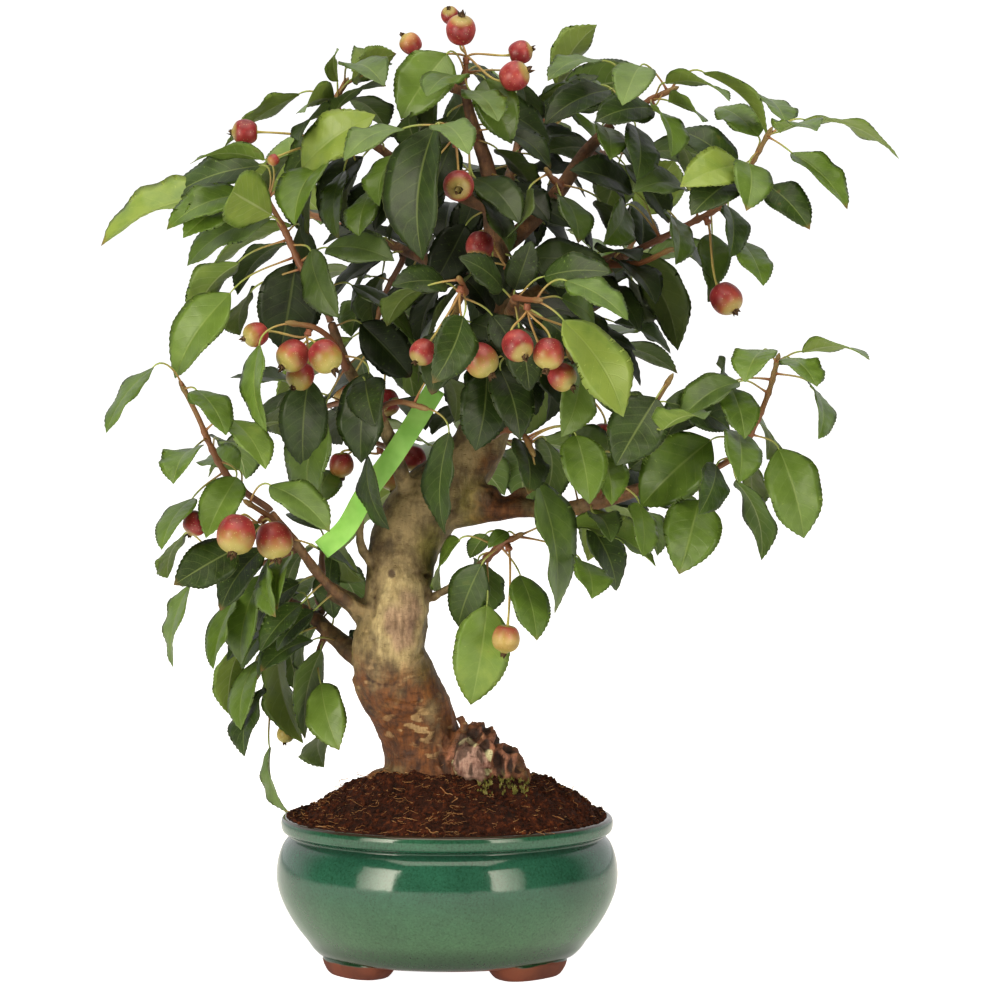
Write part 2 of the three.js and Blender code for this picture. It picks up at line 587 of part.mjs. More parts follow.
function makePot() {
  const drain = [[POT.drain, POT.floor], [POT.drain, POT_OUTSIDE[0][1]]];
  let pot = solidOf(revolve([...POT_OUTSIDE, ...POT_INSIDE, ...drain, POT_OUTSIDE[0]], POT.sides));
  for (const turn of FOOT.turns) {
    const middle = THREE.MathUtils.degToRad(turn);
    pot = pot.add(solidOf(loft(FOOT_RINGS.map((row) => footRing(middle, ...row)))));
  }
  const cavity = [[0, POT.floor], ...POT_INSIDE.slice(2).reverse(), [0, POT_INSIDE[2][1]]];
  return pot.subtract(solidOf(revolve(cavity, POT.sides)));
}

// The mound's height over the table at a place in plan.
function moundHeight(x, y) {
  const away = Math.min(1, Math.hypot(x - MOUND.offset, y) / MOUND.reach);
  const broad = LUMPS.broad * Math.sin(x * 0.11 + 1.3) * Math.cos(y * 0.13);
  const fine = LUMPS.fine * Math.sin(x * 0.31 + y * 0.24);
  const rise = MOUND.height * (1 - away * away) ** MOUND.round;
  return MOUND.edge + rise + (broad + fine) * (1 - away ** 6);
}

function makeSoil() {
  const geometry = revolve([...SOIL_SIDE, ...MOUND.rings.map((radius) => [radius, 0])], POT.sides);
  const position = geometry.getAttribute('position');
  for (let i = 0; i < position.count; i++) {
    if (position.getZ(i) > SOIL_SIDE[0][1] / 2) continue;
    position.setZ(i, moundHeight(position.getX(i), position.getY(i)));
  }
  return solidOf(geometry).subtract(wasm.Manifold.union(rootCrown(GAP)));
}

// ---------------------------------------------------------------- trunk and limbs

// How far the trunk swells out of round: root ribs at its foot and a slow wander above.
function trunkSwell(s, turn) {
  const root = Math.max(0, 1 - s * FLARE.top);
  return 1 + FLARE.ribs * root * Math.cos(3 * turn + 0.8)
    + FLARE.wander * Math.cos(2 * turn + 9 * s) * (1 - s);
}

// Evenly spaced stations along the smooth line through the rows.
function smoothStations(rows, count) {
  const curve = new THREE.CatmullRomCurve3(stationsOf(rows).map((s) => s.point), false, 'centripetal');
  const stations = [];
  for (let i = 0; i <= count; i++) {
    const t = i / count * (rows.length - 1);
    const k = Math.min(Math.floor(t), rows.length - 2);
    const radius = THREE.MathUtils.lerp(rows[k][3], rows[k + 1][3], t - k) / 2;
    stations.push({ point: curve.getPoint(i / count), radius });
  }
  return stations;
}

const limbStations = {};
limbStations.trunk = smoothStations(TRUNK, TRUNK_RINGS);
for (const [name, rows] of Object.entries(LIMBS)) {
  limbStations[name] = smoothStations(rows, rows.length - 1);
}

// The limbs' own triangles, which shoots are seated on.
const solidSoups = {};
for (const [name, stations] of Object.entries(limbStations)) {
  solidSoups[name] = soupOf(limbTube(name, stations));
}

function limbTube(name, stations) {
  if (name === 'trunk') return tube(stations, TRUNK_SIDES, null, null, trunkSwell);
  return tube(stations, LIMB_SIDES);
}

// The trunk's own tube and its knobs, grown by `extra` where they cut the soil's hole.
function rootCrown(extra) {
  const solids = [solidOf(tube(thick(limbStations.trunk, extra), TRUNK_SIDES, null, null, trunkSwell))];
  for (const [x, y, depth, across, deep, high] of KNOBS) {
    const knob = new THREE.SphereGeometry(1, 7, 3);
    knob.scale(across + extra, deep + extra, high + extra);
    knob.translate(...onElevation(x, y, depth).toArray());
    solids.push(solidOf(knob));
  }
  return solids;
}

function makeTrunk() {
  const solids = rootCrown(0);
  for (const [name, stations] of Object.entries(limbStations)) {
    if (name !== 'trunk') solids.push(solidOf(limbTube(name, stations)));
  }
  for (const rows of Object.values(STUBS)) solids.push(solidOf(tube(stationsOf(rows), STUB_SIDES)));
  return wasm.Manifold.union(solids);
}

// ---------------------------------------------------------------- leaves

// Repeatable draws from 0 to 1 for one seed.
function drawsFrom(seed) {
  let state = seed * 7919 + 12345;
  return () => {
    state = state * 48271 % 2147483647;
    return state / 2147483647;
  };
}

// One closed mesh of petiole and blade; `swell` thickens it for the clearance test.
function leafGeometry(leaf, swell = 0, bladeOnly = false) {
  const { root, foot, tip, width, normal, wave } = leaf;
  const axis = tip.clone().sub(foot);
  const length = axis.length();
  axis.normalize();
  const across = axis.clone().cross(normal).normalize();
  const half = LEAF.thick / 2 + swell;
  const points = [];
  const faces = [];
  // the petiole, three-sided: rings of top left, bottom and top right
  const stem = LEAF.stalk + swell;
  const stemRing = (at, out, up) => {
    points.push(at.clone().addScaledVector(out, -stem).addScaledVector(up, stem * 0.7));
    points.push(at.clone().addScaledVector(up, -stem * 0.9));
    points.push(at.clone().addScaledVector(out, stem).addScaledVector(up, stem * 0.7));
  };
  const along = foot.clone().sub(root).normalize();
  const rootOut = along.clone().cross(normal).normalize();
  if (rootOut.dot(across) < 0) rootOut.copy(across).addScaledVector(along, -across.dot(along)).normalize();
  const rootUp = rootOut.clone().cross(along);
  stemRing(bladeOnly ? foot.clone().lerp(root, 0.1) : root, rootOut, rootUp);
  if (leaf.knee && !bladeOnly) {
    stemRing(leaf.knee, rootOut.clone().add(across).normalize(), rootUp.clone().add(normal).normalize());
  }
  stemRing(foot, across, normal);
  faces.push([0, 1, 2]);
  const stemEnd = points.length - 3;
  for (let ring = 0; ring < stemEnd; ring += 3) {
    for (let k = 0; k < 3; k++) {
      const next = (k + 1) % 3;
      faces.push([ring + k, ring + 3 + next, ring + next], [ring + k, ring + 3 + k, ring + 3 + next]);
    }
  }
  // the blade: rings of a top and a bottom point at each margin, and at the midrib if folded
  const sides = leaf.folded ? [-1, 0, 1] : [-1, 1];
  let before = null;
  const [sl, sb, sr] = [stemEnd, stemEnd + 1, stemEnd + 2];
  for (const [s, spread, ripple] of leaf.stations) {
    const middle = foot.clone().addScaledVector(axis, s * length)
      .addScaledVector(normal, leaf.arch * 4 * s * (1 - s) * length);
    const reach = width * spread / 2 + swell;
    const here = sides.map((side) => {
      const lift = side === 0 ? 0 : reach * ((leaf.folded ? leaf.fold : 0) + side * ripple * wave);
      const margin = middle.clone().addScaledVector(across, side * reach).addScaledVector(normal, lift);
      points.push(margin.clone().addScaledVector(normal, half), margin.addScaledVector(normal, -half));
      return points.length - 2;
    });
    const right = here[here.length - 1];
    const [left, mid] = here;
    if (!before) {
      if (leaf.folded) {
        faces.push([sl, mid, left], [sl, sr, mid], [sr, right, mid], [sb, mid + 1, right + 1]);
      } else {
        faces.push([sl, sr, left], [sr, right, left]);
      }
      faces.push([sb, left + 1, (leaf.folded ? mid : right) + 1]);
      faces.push([sl, left, left + 1], [sl, left + 1, sb], [sr, right + 1, right], [sr, sb, right + 1]);
    } else {
      for (let k = 0; k + 1 < here.length; k++) {
        const [a, b, c, d] = [before[k], before[k + 1], here[k + 1], here[k]];
        faces.push([a, b, c], [a, c, d], [a + 1, c + 1, b + 1], [a + 1, d + 1, c + 1]);
      }
      const was = before[before.length - 1];
      faces.push([before[0], left, left + 1], [before[0], left + 1, before[0] + 1]);
      faces.push([was, was + 1, right + 1], [was, right + 1, right]);
    }
    before = here;
  }
  points.push(foot.clone().addScaledVector(axis, length + swell).addScaledVector(normal, -0.04 * length));
  const end = points.length - 1;
  for (let k = 0; k + 1 < before.length; k++) {
    faces.push([before[k], before[k + 1], end], [before[k] + 1, end, before[k + 1] + 1]);
  }
  const was = before[before.length - 1];
  faces.push([before[0], end, before[0] + 1], [was, was + 1, end]);
  return geometryFrom(points, faces);
}

const FULL_BLADE = [[0.22, 0.78, 0.5], [0.5, 1, -0.6], [0.8, 0.62, 0.5]];
const SIMPLE_BLADE = [[0.3, 0.96, 0.4], [0.68, 0.84, -0.5]];

// The face normal nearest to `want` whose blade shows `seen` of its `width` from the front.
function turnedNormal(axis, seen, width, want) {
  const facing = FRONT.clone().addScaledVector(axis, -FRONT.dot(axis)).normalize();
  const beside = axis.clone().cross(facing);
  const cosine = Math.min(1, Math.max(0.12, seen / width));
  const sine = Math.sqrt(1 - cosine * cosine);
  let best = null;
  for (const [c, s] of [[cosine, sine], [cosine, -sine], [-cosine, sine], [-cosine, -sine]]) {
    const normal = facing.clone().multiplyScalar(c).addScaledVector(beside, s);
    if (!best || normal.dot(want) > best.dot(want)) best = normal;
  }
  return best;
}

const outwardAt = (point) => vec(point.x, point.y, 0).normalize();

// A leaf as read from the elevation, bent by one of the tries that keep it clear.
function readLeaf(twigCurve, row, draws, shift, roll, shrink) {
  const [fx, fy, tx, ty, seen, side, small] = row;
  const flat = UNIT * Math.hypot(tx - fx, ty - fy);
  const full = small ?? LEAF.length * (0.94 + 0.2 * draws());
  const lean = side * Math.sqrt(Math.max(9, full * full - flat * flat)) * LEAF.lean;
  let root = null;
  let foot = null;
  let bestMiss = Infinity;
  let tip = null;
  for (const at of twigCurve) {
    const depth = at.y + 0.35 * lean + 0.7 * shift;
    const base = onElevation(fx, fy, depth);
    const end = onElevation(tx, ty, depth + lean + 0.3 * shift);
    const reach = base.clone().sub(at);
    const bend = reach.angleTo(end.clone().sub(base));
    const miss = Math.abs(reach.length() - LEAF.petiole) + 25 * Math.max(0, bend - 1);
    if (miss < bestMiss) [root, foot, tip, bestMiss] = [at, base, end, miss];
  }
  const axis = tip.clone().sub(foot);
  const length = axis.length();
  axis.normalize();
  const width = Math.max(0.56 * length, Math.min(UNIT * seen * 1.05, 0.74 * length)) * shrink;
  const want = UP.clone().addScaledVector(outwardAt(foot), 0.6);
  const normal = turnedNormal(axis, UNIT * seen, width, want).applyAxisAngle(axis, roll);
  const folded = seen >= LEAF.folds;
  const bend = foot.clone().sub(root).angleTo(axis);
  const reach = foot.distanceTo(root);
  const knee = bend < 0.9 ? null : foot.clone().addScaledVector(axis, -0.55 * reach).lerp(root, 0.5);
  const stations = folded ? FULL_BLADE : SIMPLE_BLADE;
  return { bend, knee, root, foot, tip, width, normal, folded, stations };
}

// A leaf placed by rule around its twig, for the sides that no reading covers.
function ruledLeaf(twigCurve, index, count, draws, turn, roll, shrink) {
  const share = RULED.first + (1 - RULED.first) * (index + 0.5) / count;
  const at = Math.round(share * (twigCurve.length - 1));
  const root = twigCurve[at];
  const along = twigCurve[Math.min(at + 1, twigCurve.length - 1)].clone()
    .sub(twigCurve[Math.max(at - 1, 0)]).normalize();
  const phi = RULED.turn * index + RULED.stray * draws() + turn;
  const side = vec(0.3, 0.2, 1).cross(along).normalize();
  const other = along.clone().cross(side);
  const axis = side.multiplyScalar(Math.cos(phi)).addScaledVector(other, Math.sin(phi))
    .addScaledVector(along, RULED.forward).addScaledVector(outwardAt(root), RULED.outward)
    .normalize();
  const length = LEAF.length * (1 + RULED.grow * draws()) * (0.5 + 0.5 * shrink);
  const foot = root.clone().addScaledVector(axis, LEAF.petiole);
  const droop = (RULED.droop + RULED.sag * draws()) * length;
  const tip = foot.clone().addScaledVector(axis, length).addScaledVector(UP, -droop);
  const line = tip.clone().sub(foot).normalize();
  const want = UP.clone().addScaledVector(outwardAt(foot), 0.6);
  const normal = want.addScaledVector(line, -want.dot(line)).normalize().applyAxisAngle(line, roll);
  const width = length * (RULED.broad + RULED.broader * draws()) * shrink;
  return { root, foot, tip, width, normal, folded: false, stations: SIMPLE_BLADE };
}

const SHIFTS = [0, -6, 6, -12, 12, -18, 18, -25, 25, -32, 32, -40, 40];
const ROLLS = [0, 0.35, -0.35, 0.7, -0.7];
const SHRINKS = [1, 0.85, 0.7];

// The first try of a leaf that crosses nothing placed before it, or null.
function clearLeaf(make, seed, node) {
  for (const shrink of SHRINKS) {
    for (const shift of SHIFTS) {
      for (const roll of ROLLS) {
        const draws = drawsFrom(seed);
        const leaf = make(draws, shift, roll, shrink);
        leaf.arch = 0.05 + 0.07 * draws();
        leaf.fold = 0.12 + 0.2 * draws();
        leaf.wave = (draws() < 0.5 ? -1 : 1) * (0.25 + 0.35 * draws());
        const whole = soupOf(leafGeometry(leaf, LEAF.clear));
        const blade = soupOf(leafGeometry(leaf, LEAF.clear, true));
        const blocked = leaf.bend > LEAF.bend || placed.some((other) => (other.of === node
          ? crosses(blade, other.blade ?? other.soup)
          : crosses(whole, other.soup)));
        if (!blocked) {
          placed.push({ soup: whole, blade, of: node });
          return leaf;
        }
      }
    }
  }
  return null;
}

// ---------------------------------------------------------------- twigs and fruit

// Where a shoot starts: clear of its limb's end, or of its side where `from` says so.
function seatOn(limb, from, next) {
  const stations = limbStations[limb];
  const last = stations.length - 1;
  if (!from) {
    const normal = stations[last].point.clone().sub(stations[last - 1].point).normalize();
    return { point: stations[last].point.clone().addScaledVector(normal, GAP), normal };
  }
  const target = onElevation(...from);
  let nearest = 1;
  for (let i = 1; i < last; i++) {
    if (stations[i].point.distanceTo(target) < stations[nearest].point.distanceTo(target)) nearest = i;
  }
  const along = stations[nearest + 1].point.clone().sub(stations[nearest - 1].point).normalize();
  const between = target.clone().sub(stations[nearest].point).dot(along);
  const centre = stations[nearest].point.clone().addScaledVector(along, between);
  const normal = next.clone().sub(centre);
  normal.addScaledVector(along, -normal.dot(along)).normalize();
  return { point: seatPoint(centre, normal, TWIG.root, solidSoups[limb]), normal };
}

// The first place out along the normal where a round end clears the solid it is held by.
function seatPoint(centre, normal, radius, soup) {
  for (let out = 0; ; out += SEAT.step) {
    const point = centre.clone().addScaledVector(normal, out);
    const far = point.clone().addScaledVector(normal, SEAT.reach);
    const ends = [{ point, radius: radius + SEAT.clear }, { point: far, radius }];
    if (!crosses(soupOf(tube(ends, 8, normal, normal)), soup)) return point.addScaledVector(normal, GAP);
  }
}

function makeTwig(spray) {
  const next = onElevation(...spray.twig[0]);
  const seat = seatOn(spray.on, spray.from, next);
  const points = [seat.point, seat.point.clone().addScaledVector(seat.normal, SEAT.rise),
    ...spray.twig.map((row) => onElevation(...row))];
  const curve = new THREE.CatmullRomCurve3(points, false, 'centripetal');
  const count = points.length;
  const stations = [];
  for (let i = 0; i <= count; i++) {
    const radius = THREE.MathUtils.lerp(TWIG.root, TWIG.end, i / count);
    stations.push({ point: curve.getPoint(i / count), radius });
  }
  const line = [];
  for (let i = 1; i < count; i++) {
    for (const t of [0, 0.25, 0.5, 0.75]) {
      line.push(stations[i].point.clone().lerp(stations[i + 1].point, t));
    }
  }
  const crowned = spray.fruit_at === 1;
  if (crowned) line.splice(-4);
  else line.push(stations[count].point.clone().lerp(stations[count - 1].point, 0.1));
  return { stations, seat, line };
}

const twigTube = (twig) => tube(twig.stations, TWIG.sides, twig.seat.normal);

function fruitSolids(row, knob, leave) {
  const [x, y, depth, size, calyxX, calyxY] = row;
  const centre = onElevation(x, y, depth);
  const radius = UNIT * size;
  const rim = onElevation(calyxX, calyxY, depth).sub(centre);
  const towards = Math.sqrt(Math.max(0.1, radius * radius - rim.lengthSq()));
  const down = rim.addScaledVector(FRONT, towards * 0.8).normalize();
  const body = revolve(FRUIT_PROFILE.map(([r, z]) => [r * radius, z * radius]), FRUIT.sides);
  body.applyQuaternion(new THREE.Quaternion().setFromUnitVectors(UP, down));
  body.translate(...centre.toArray());
  const pit = centre.clone().addScaledVector(down, -0.7 * radius);
  const away = centre.clone().addScaledVector(down, -1.9 * radius);
  const curve = new THREE.CubicBezierCurve3(knob, knob.clone().addScaledVector(leave, 7), away, pit);
  const stations = [];
  for (let i = 0; i <= 2; i++) stations.push({ point: curve.getPoint(i / 2), radius: FRUIT.stalk });
  return { body, stalk: tube(stations, 3), centre, radius, stations };
}

function makeBunch(spray, twig) {
  const stations = twig.stations;
  const index = Math.round((spray.fruit_at ?? 0.7) * (stations.length - 1));
  const { point, radius } = stations[index];
  const ahead = stations[Math.min(index + 1, stations.length - 1)].point;
  const along = ahead.clone().sub(stations[index - 1].point).normalize();
  let normal = along;
  if (spray.fruit_at !== 1) {
    normal = vec(0, 0, 0);
    for (const [x, y, depth] of spray.fruit) normal.add(onElevation(x, y, depth).sub(point));
    normal.addScaledVector(along, -normal.dot(along)).normalize();
  }
  const base = spray.fruit_at === 1 ? point.clone().addScaledVector(normal, GAP)
    : seatPoint(point, normal, KNOB.root, soupOf(twigTube(twig)));
  const knobEnd = base.clone().addScaledVector(normal, KNOB.length);
  const knob = [{ point: base, radius: KNOB.root }, { point: knobEnd, radius: KNOB.end }];
  const solids = [solidOf(tube(knob, KNOB.sides, normal, normal))];
  const middle = base.clone().addScaledVector(normal, 0.7 * KNOB.length);
  const soups = [soupOf(tube(thick(knob, 0.3), 6, normal, normal))];
  for (const row of spray.fruit) {
    const made = fruitSolids(row, middle, normal);
    solids.push(solidOf(made.body), solidOf(made.stalk));
    const shell = new THREE.SphereGeometry(made.radius * 1.04 + 0.3, 10, 7);
    shell.translate(...made.centre.toArray());
    soups.push(soupOf(shell), soupOf(tube(thick(made.stations, 0.4), 4)));
  }
  return { solid: wasm.Manifold.union(solids), soups };
}

// ---------------------------------------------------------------- plant tag

function makeTag() {
  const curve = new THREE.CatmullRomCurve3(TAG_PATH.map((row) => onElevation(...row)));
  const half = TAG.width / 2;
  const skin = TAG.thick / 2;
  const rings = [];
  for (let i = 0; i <= TAG.rings; i++) {
    const at = curve.getPoint(i / TAG.rings);
    const along = curve.getTangent(i / TAG.rings);
    const across = along.clone().cross(FRONT).normalize();
    const out = along.clone().cross(across).normalize();
    const corners = [[-half, -skin], [half, -skin], [half, skin], [-half, skin]];
    rings.push(corners.map(([a, b]) => at.clone().addScaledVector(across, a).addScaledVector(out, b)));
  }
  return loft(rings);
}

// ---------------------------------------------------------------- the object

const FINISH = {
  pot: { color: 0x3f7a5e, roughness: 0.18, metalness: 0 },
  soil: { color: 0x3a1c10, roughness: 1, metalness: 0 },
  trunk: { color: 0xa08a6c, roughness: 0.85, metalness: 0 },
  leaf: { color: 0x4a6b35, roughness: 0.5, metalness: 0 },
  fruit: { color: 0xc2453a, roughness: 0.35, metalness: 0 },
  tag: { color: 0x58c653, roughness: 0.45, metalness: 0 },
};

const group = new THREE.Group();

function add(name, geometry, finish) {
  const mesh = new THREE.Mesh(geometry, new THREE.MeshStandardMaterial(FINISH[finish]));
  mesh.name = name;
  group.add(mesh);
}

add('pot', geometryOf(makePot()), 'pot');
add('soil', geometryOf(makeSoil()), 'soil');
add('trunk', geometryOf(makeTrunk()), 'trunk');
const tagGeometry = makeTag();
add('plant_tag', tagGeometry, 'tag');

placed.push({ soup: soupOf(revolve(POT_GUARD, 24)), of: 'pot' });
placed.push({ soup: soupOf(tagGeometry), of: 'tag' });
for (const [name, stations] of Object.entries(limbStations)) {
  placed.push({ soup: soupOf(tube(thick(stations, name === 'trunk' ? 1.2 : 0.4), 9)), of: 'trunk' });
}
for (const rows of Object.values(STUBS)) {
  placed.push({ soup: soupOf(tube(thick(stationsOf(rows), 0.4), 7)), of: 'trunk' });
}

const twigs = {};
for (const [name, spray] of Object.entries(SPRAYS)) {
  const twig = makeTwig(spray);
  twigs[name] = twig;
  placed.push({ soup: soupOf(tube(thick(twig.stations.slice(1), 0.35), 6)), of: name });
  if (spray.fruit) {
    const bunch = makeBunch(spray, twig);
    for (const soup of bunch.soups) placed.push({ soup, of: `fruit_${name}` });
    add(`fruit_${name}`, geometryOf(bunch.solid), 'fruit');
  }
}

Object.entries(SPRAYS).forEach(([name, spray], s) => {
  const twig = twigs[name];
  const line = twig.line;
  const solids = [solidOf(twigTube(twig))];
  const rows = spray.leaves ?? [];
  rows.forEach((row, i) => {
    const make = (draws, shift, roll, shrink) => readLeaf(line, row, draws, shift, roll, shrink);
    const leaf = clearLeaf(make, 1000 * s + i, name);
    if (leaf) solids.push(solidOf(leafGeometry(leaf)));
  });
  for (let i = 0; i < (spray.fill ?? 0); i++) {
    const make = (draws, shift, roll, shrink) => (
      ruledLeaf(line, i, spray.fill, draws, shift * RULED.swing, roll, shrink));
    const leaf = clearLeaf(make, 1000 * s + 500 + i, name);
    if (leaf) solids.push(solidOf(leafGeometry(leaf)));
  }
  add(`spray_${name}`, geometryOf(wasm.Manifold.union(solids)), 'leaf');
});

// The origin is under the middle of the overall box, on the table.
const bounds = new THREE.Box3().setFromObject(group);
const middle = bounds.getCenter(vec(0, 0, 0));
group.position.set(-middle.x, -middle.y, -bounds.min.z);

export default group;
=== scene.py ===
# %% [markdown]
# # A crabapple bonsai in a round glazed pot
#
# The real thing is a small trained tree, about 58 cm tall with its pot: an S-curved trunk with
# a burl at its foot, a crown of glossy toothed leaves, bunches of red and yellow crabapples, and
# a green plastic tag. The solids give every twig, leaf and apple its place. This script dresses
# them: it finds each leaf in its own solid and lays a finer one over it, with teeth and veins.

# %% The frame and the working unit
import math
from functools import partial

import bpy
import numpy as np
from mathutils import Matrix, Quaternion, Vector, kdtree, noise


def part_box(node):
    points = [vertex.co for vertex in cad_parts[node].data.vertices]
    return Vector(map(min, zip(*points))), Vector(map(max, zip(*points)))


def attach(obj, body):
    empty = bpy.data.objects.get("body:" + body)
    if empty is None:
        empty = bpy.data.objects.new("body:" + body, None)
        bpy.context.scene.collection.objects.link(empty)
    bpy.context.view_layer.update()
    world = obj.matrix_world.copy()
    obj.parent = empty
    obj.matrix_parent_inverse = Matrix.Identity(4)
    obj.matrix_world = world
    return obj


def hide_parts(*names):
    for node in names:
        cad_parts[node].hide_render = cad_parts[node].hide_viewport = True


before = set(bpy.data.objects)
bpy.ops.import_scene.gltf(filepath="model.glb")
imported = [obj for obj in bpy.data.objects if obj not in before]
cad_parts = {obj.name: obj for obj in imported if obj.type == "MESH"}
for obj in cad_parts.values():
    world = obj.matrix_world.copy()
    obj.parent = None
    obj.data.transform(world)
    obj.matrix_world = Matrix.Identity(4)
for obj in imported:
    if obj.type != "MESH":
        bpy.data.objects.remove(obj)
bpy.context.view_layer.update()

MM = 0.001
pot_low, pot_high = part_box("pot")
POT_AXIS = Vector(((pot_low.x + pot_high.x) / 2, (pot_low.y + pot_high.y) / 2, 0))
print("pot axis at", [round(v / MM, 2) for v in POT_AXIS], "mm")

# %% [markdown]
# The tree is set out on a front elevation, as a grower would draw it: x to the right and y down
# in drawing units of 0.6 mm, and a depth in mm that is negative towards the front. The drawing
# looks down a little, by the slope VIEW_TILT. Every shape below is made in millimetres from the
# pot's axis, and is scaled to metres only when its mesh is finished.

# %% From the elevation to the tree
UNIT = 0.6
AXIS_X = 447
TABLE_Y = 973
VIEW_TILT = 0.11
GAP = 0.35
UP = Vector((0, 0, 1))
FRONT = Vector((0, -1, 0))


def on_elevation(x, y, depth):
    """A point of the drawing in millimetres from the pot's axis on the table."""
    return Vector((UNIT * (x - AXIS_X), depth, UNIT * (TABLE_Y - y) - VIEW_TILT * depth))


# %% [markdown]
# The camera stands far off with a long lens, level with the crown and looking down by the same
# slope as the drawing, so near and far leaves keep their places. The frame is 600 mm wide at the
# trunk, which is 1000 drawing units.

# %% The camera
VIEW_DISTANCE = 8.0
SENSOR = 36.0
FRAME_WIDTH = 1000 * UNIT * MM

view_line = Vector((0, 1, -VIEW_TILT)).normalized()
aim = on_elevation(500, 500, 0) * MM + POT_AXIS
camera_data = bpy.data.cameras.new("camera")
camera_data.sensor_width = SENSOR
camera_data.lens = SENSOR * VIEW_DISTANCE / FRAME_WIDTH
camera_data.clip_end = 40
camera = bpy.data.objects.new("camera", camera_data)
camera.location = aim - view_line * VIEW_DISTANCE
camera.rotation_euler = view_line.to_track_quat("-Z", "Y").to_euler()
bpy.context.scene.collection.objects.link(camera)
bpy.context.scene.camera = camera
print("lens", round(camera_data.lens), "mm")

# %% [markdown]
# Colours are written as sRGB hex codes, the way a colour picker shows them, and one function
# turns them to the linear values that Blender's sockets take. A second small function adds a
# shader or geometry node with its settings and its links in one call. The scale of a noise is
# its lumps per metre of the plant: 420 gives lumps of 2.4 mm, and 60 gives patches of 17 mm.

# %% Colours and nodes
def colour(code):
    """An sRGB hex code as linear red, green, blue and alpha."""
    parts = [int(code[i:i + 2], 16) / 255 for i in (1, 3, 5)]
    return [p / 12.92 if p <= 0.04045 else ((p + 0.055) / 1.055) ** 2.4 for p in parts] + [1.0]


def add(tree, kind, *values, out=None, stops=(), **named):
    """Adds a node and returns an output: the first live one, unless `out` names another.

    Values go to the live inputs in order. A name with a capital is an input too, and a name in
    small letters is a setting. A kind all in capitals is an operation of the Math node. A value
    is a number, a colour code or the output of an earlier node.
    """
    if kind.isupper():
        kind, named = "Math", {"operation": kind, **named}
    made = tree.nodes.new(kind if "Node" in kind else "ShaderNode" + kind)
    for name in filter(str.islower, named):
        setattr(made, name, named[name])
    given = list(zip([socket for socket in made.inputs if socket.enabled], values))
    given += [(made.inputs[name.replace("_", " ")], value) for name, value in named.items()
              if not name.islower()]
    for socket, value in given:
        if isinstance(value, bpy.types.NodeSocket):
            tree.links.new(value, socket)
        else:
            socket.default_value = colour(value) if isinstance(value, str) else value
    if stops:
        elements = made.color_ramp.elements
        while len(elements) < len(stops):
            elements.new(0.5)
        for element, (position, code) in zip(elements, stops):
            element.position, element.color = position, colour(code)
    return made.outputs[out] if out else next((o for o in made.outputs if o.enabled), None)


def new_material(name):
    """A material, the call that adds nodes to its empty tree, and its Object coordinates."""
    material = bpy.data.materials.new(name)
    material.use_nodes = True
    material.node_tree.nodes.clear()
    node = partial(add, material.node_tree)
    return material, node, node("TexCoord", out="Object")


# Settings that many nodes share: a smooth step, a mix of colours, and one that darkens.
SMOOTH = {"interpolation_type": "SMOOTHSTEP"}
BLEND = {"data_type": "RGBA"}
DARKEN = {"data_type": "RGBA", "blend_type": "MULTIPLY"}

# %% [markdown]
# Every piece is gathered the same way: strips and tubes are added to a Piece as numbered points,
# faces, a finish for each face and named values for each point, such as how old a leaf is. The
# shaders read those values back as attributes. Building one mesh per piece keeps the scene small
# and leaves no modifier to apply.

# %% Gathering a piece
class Piece:
    """The points, faces, finishes and named values of one mesh."""

    def __init__(self):
        self.points = []
        self.faces = []
        self.finishes = []
        self.values = {}
        self.total = 0

    def put(self, points, faces, finish=0, **values):
        """Adds numbered faces over their own points; values are one number or one per point."""
        points = np.array([tuple(point) for point in points], float)
        self.points.append(points)
        self.faces += [tuple(i + self.total for i in face) for face in faces]
        self.finishes += [finish] * len(faces)
        for name in set(self.values) | set(values):
            before = self.values.setdefault(name, [np.zeros(self.total)])
            before.append(np.broadcast_to(np.asarray(values.get(name, 0.0), float), len(points)))
        self.total += len(points)

    def mesh(self, name, materials):
        """The finished mesh in metres, smooth, with its values as point attributes."""
        made = bpy.data.meshes.new(name)
        places = np.concatenate(self.points) * MM + np.array(POT_AXIS)
        made.from_pydata(places.tolist(), [], self.faces)
        for material in materials:
            made.materials.append(material)
        made.polygons.foreach_set("material_index", self.finishes)
        made.polygons.foreach_set("use_smooth", [True] * len(self.faces))
        for value, parts in self.values.items():
            attribute = made.attributes.new(value, "FLOAT", "POINT")
            attribute.data.foreach_set("value", np.concatenate(parts).astype(np.float32))
        return made


def placed(name, data):
    """A new object in the scene."""
    made = bpy.data.objects.new(name, data)
    bpy.context.scene.collection.objects.link(made)
    return made


def show(name, made, slot, *nodes, finishes=()):
    """A piece or a finished mesh that rides on the plant and stands for its CAD nodes."""
    piece = placed(name, made.mesh(name, finishes) if isinstance(made, Piece) else made)
    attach(piece, "root")
    if nodes:
        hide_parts(*nodes)


def ring_faces(rings, sides):
    """Quads along a tube of equal rings, and a fan of triangles at each end to a pole point."""
    faces = []
    for r in range(rings - 1):
        for k in range(sides):
            a, b = r * sides + k, r * sides + (k + 1) % sides
            faces.append((a, b, b + sides, a + sides))
    first, last = rings * sides, rings * sides + 1
    top = (rings - 1) * sides
    for k in range(sides):
        faces.append((first, (k + 1) % sides, k))
        faces.append((last, top + k, top + (k + 1) % sides))
    return faces


def circle(count):
    """The angle, cosine and sine at even steps all the way round."""
    turns = [2 * math.pi * k / count for k in range(count)]
    return [(turn, math.cos(turn), math.sin(turn)) for turn in turns]


def heading_at(line, i):
    """The direction of a line at one of its points."""
    return (line[min(i + 1, len(line) - 1)] - line[max(i - 1, 0)]).normalized()


def length_of(line):
    """The length of a line along its points."""
    return sum((b - a).length for a, b in zip(line, line[1:]))


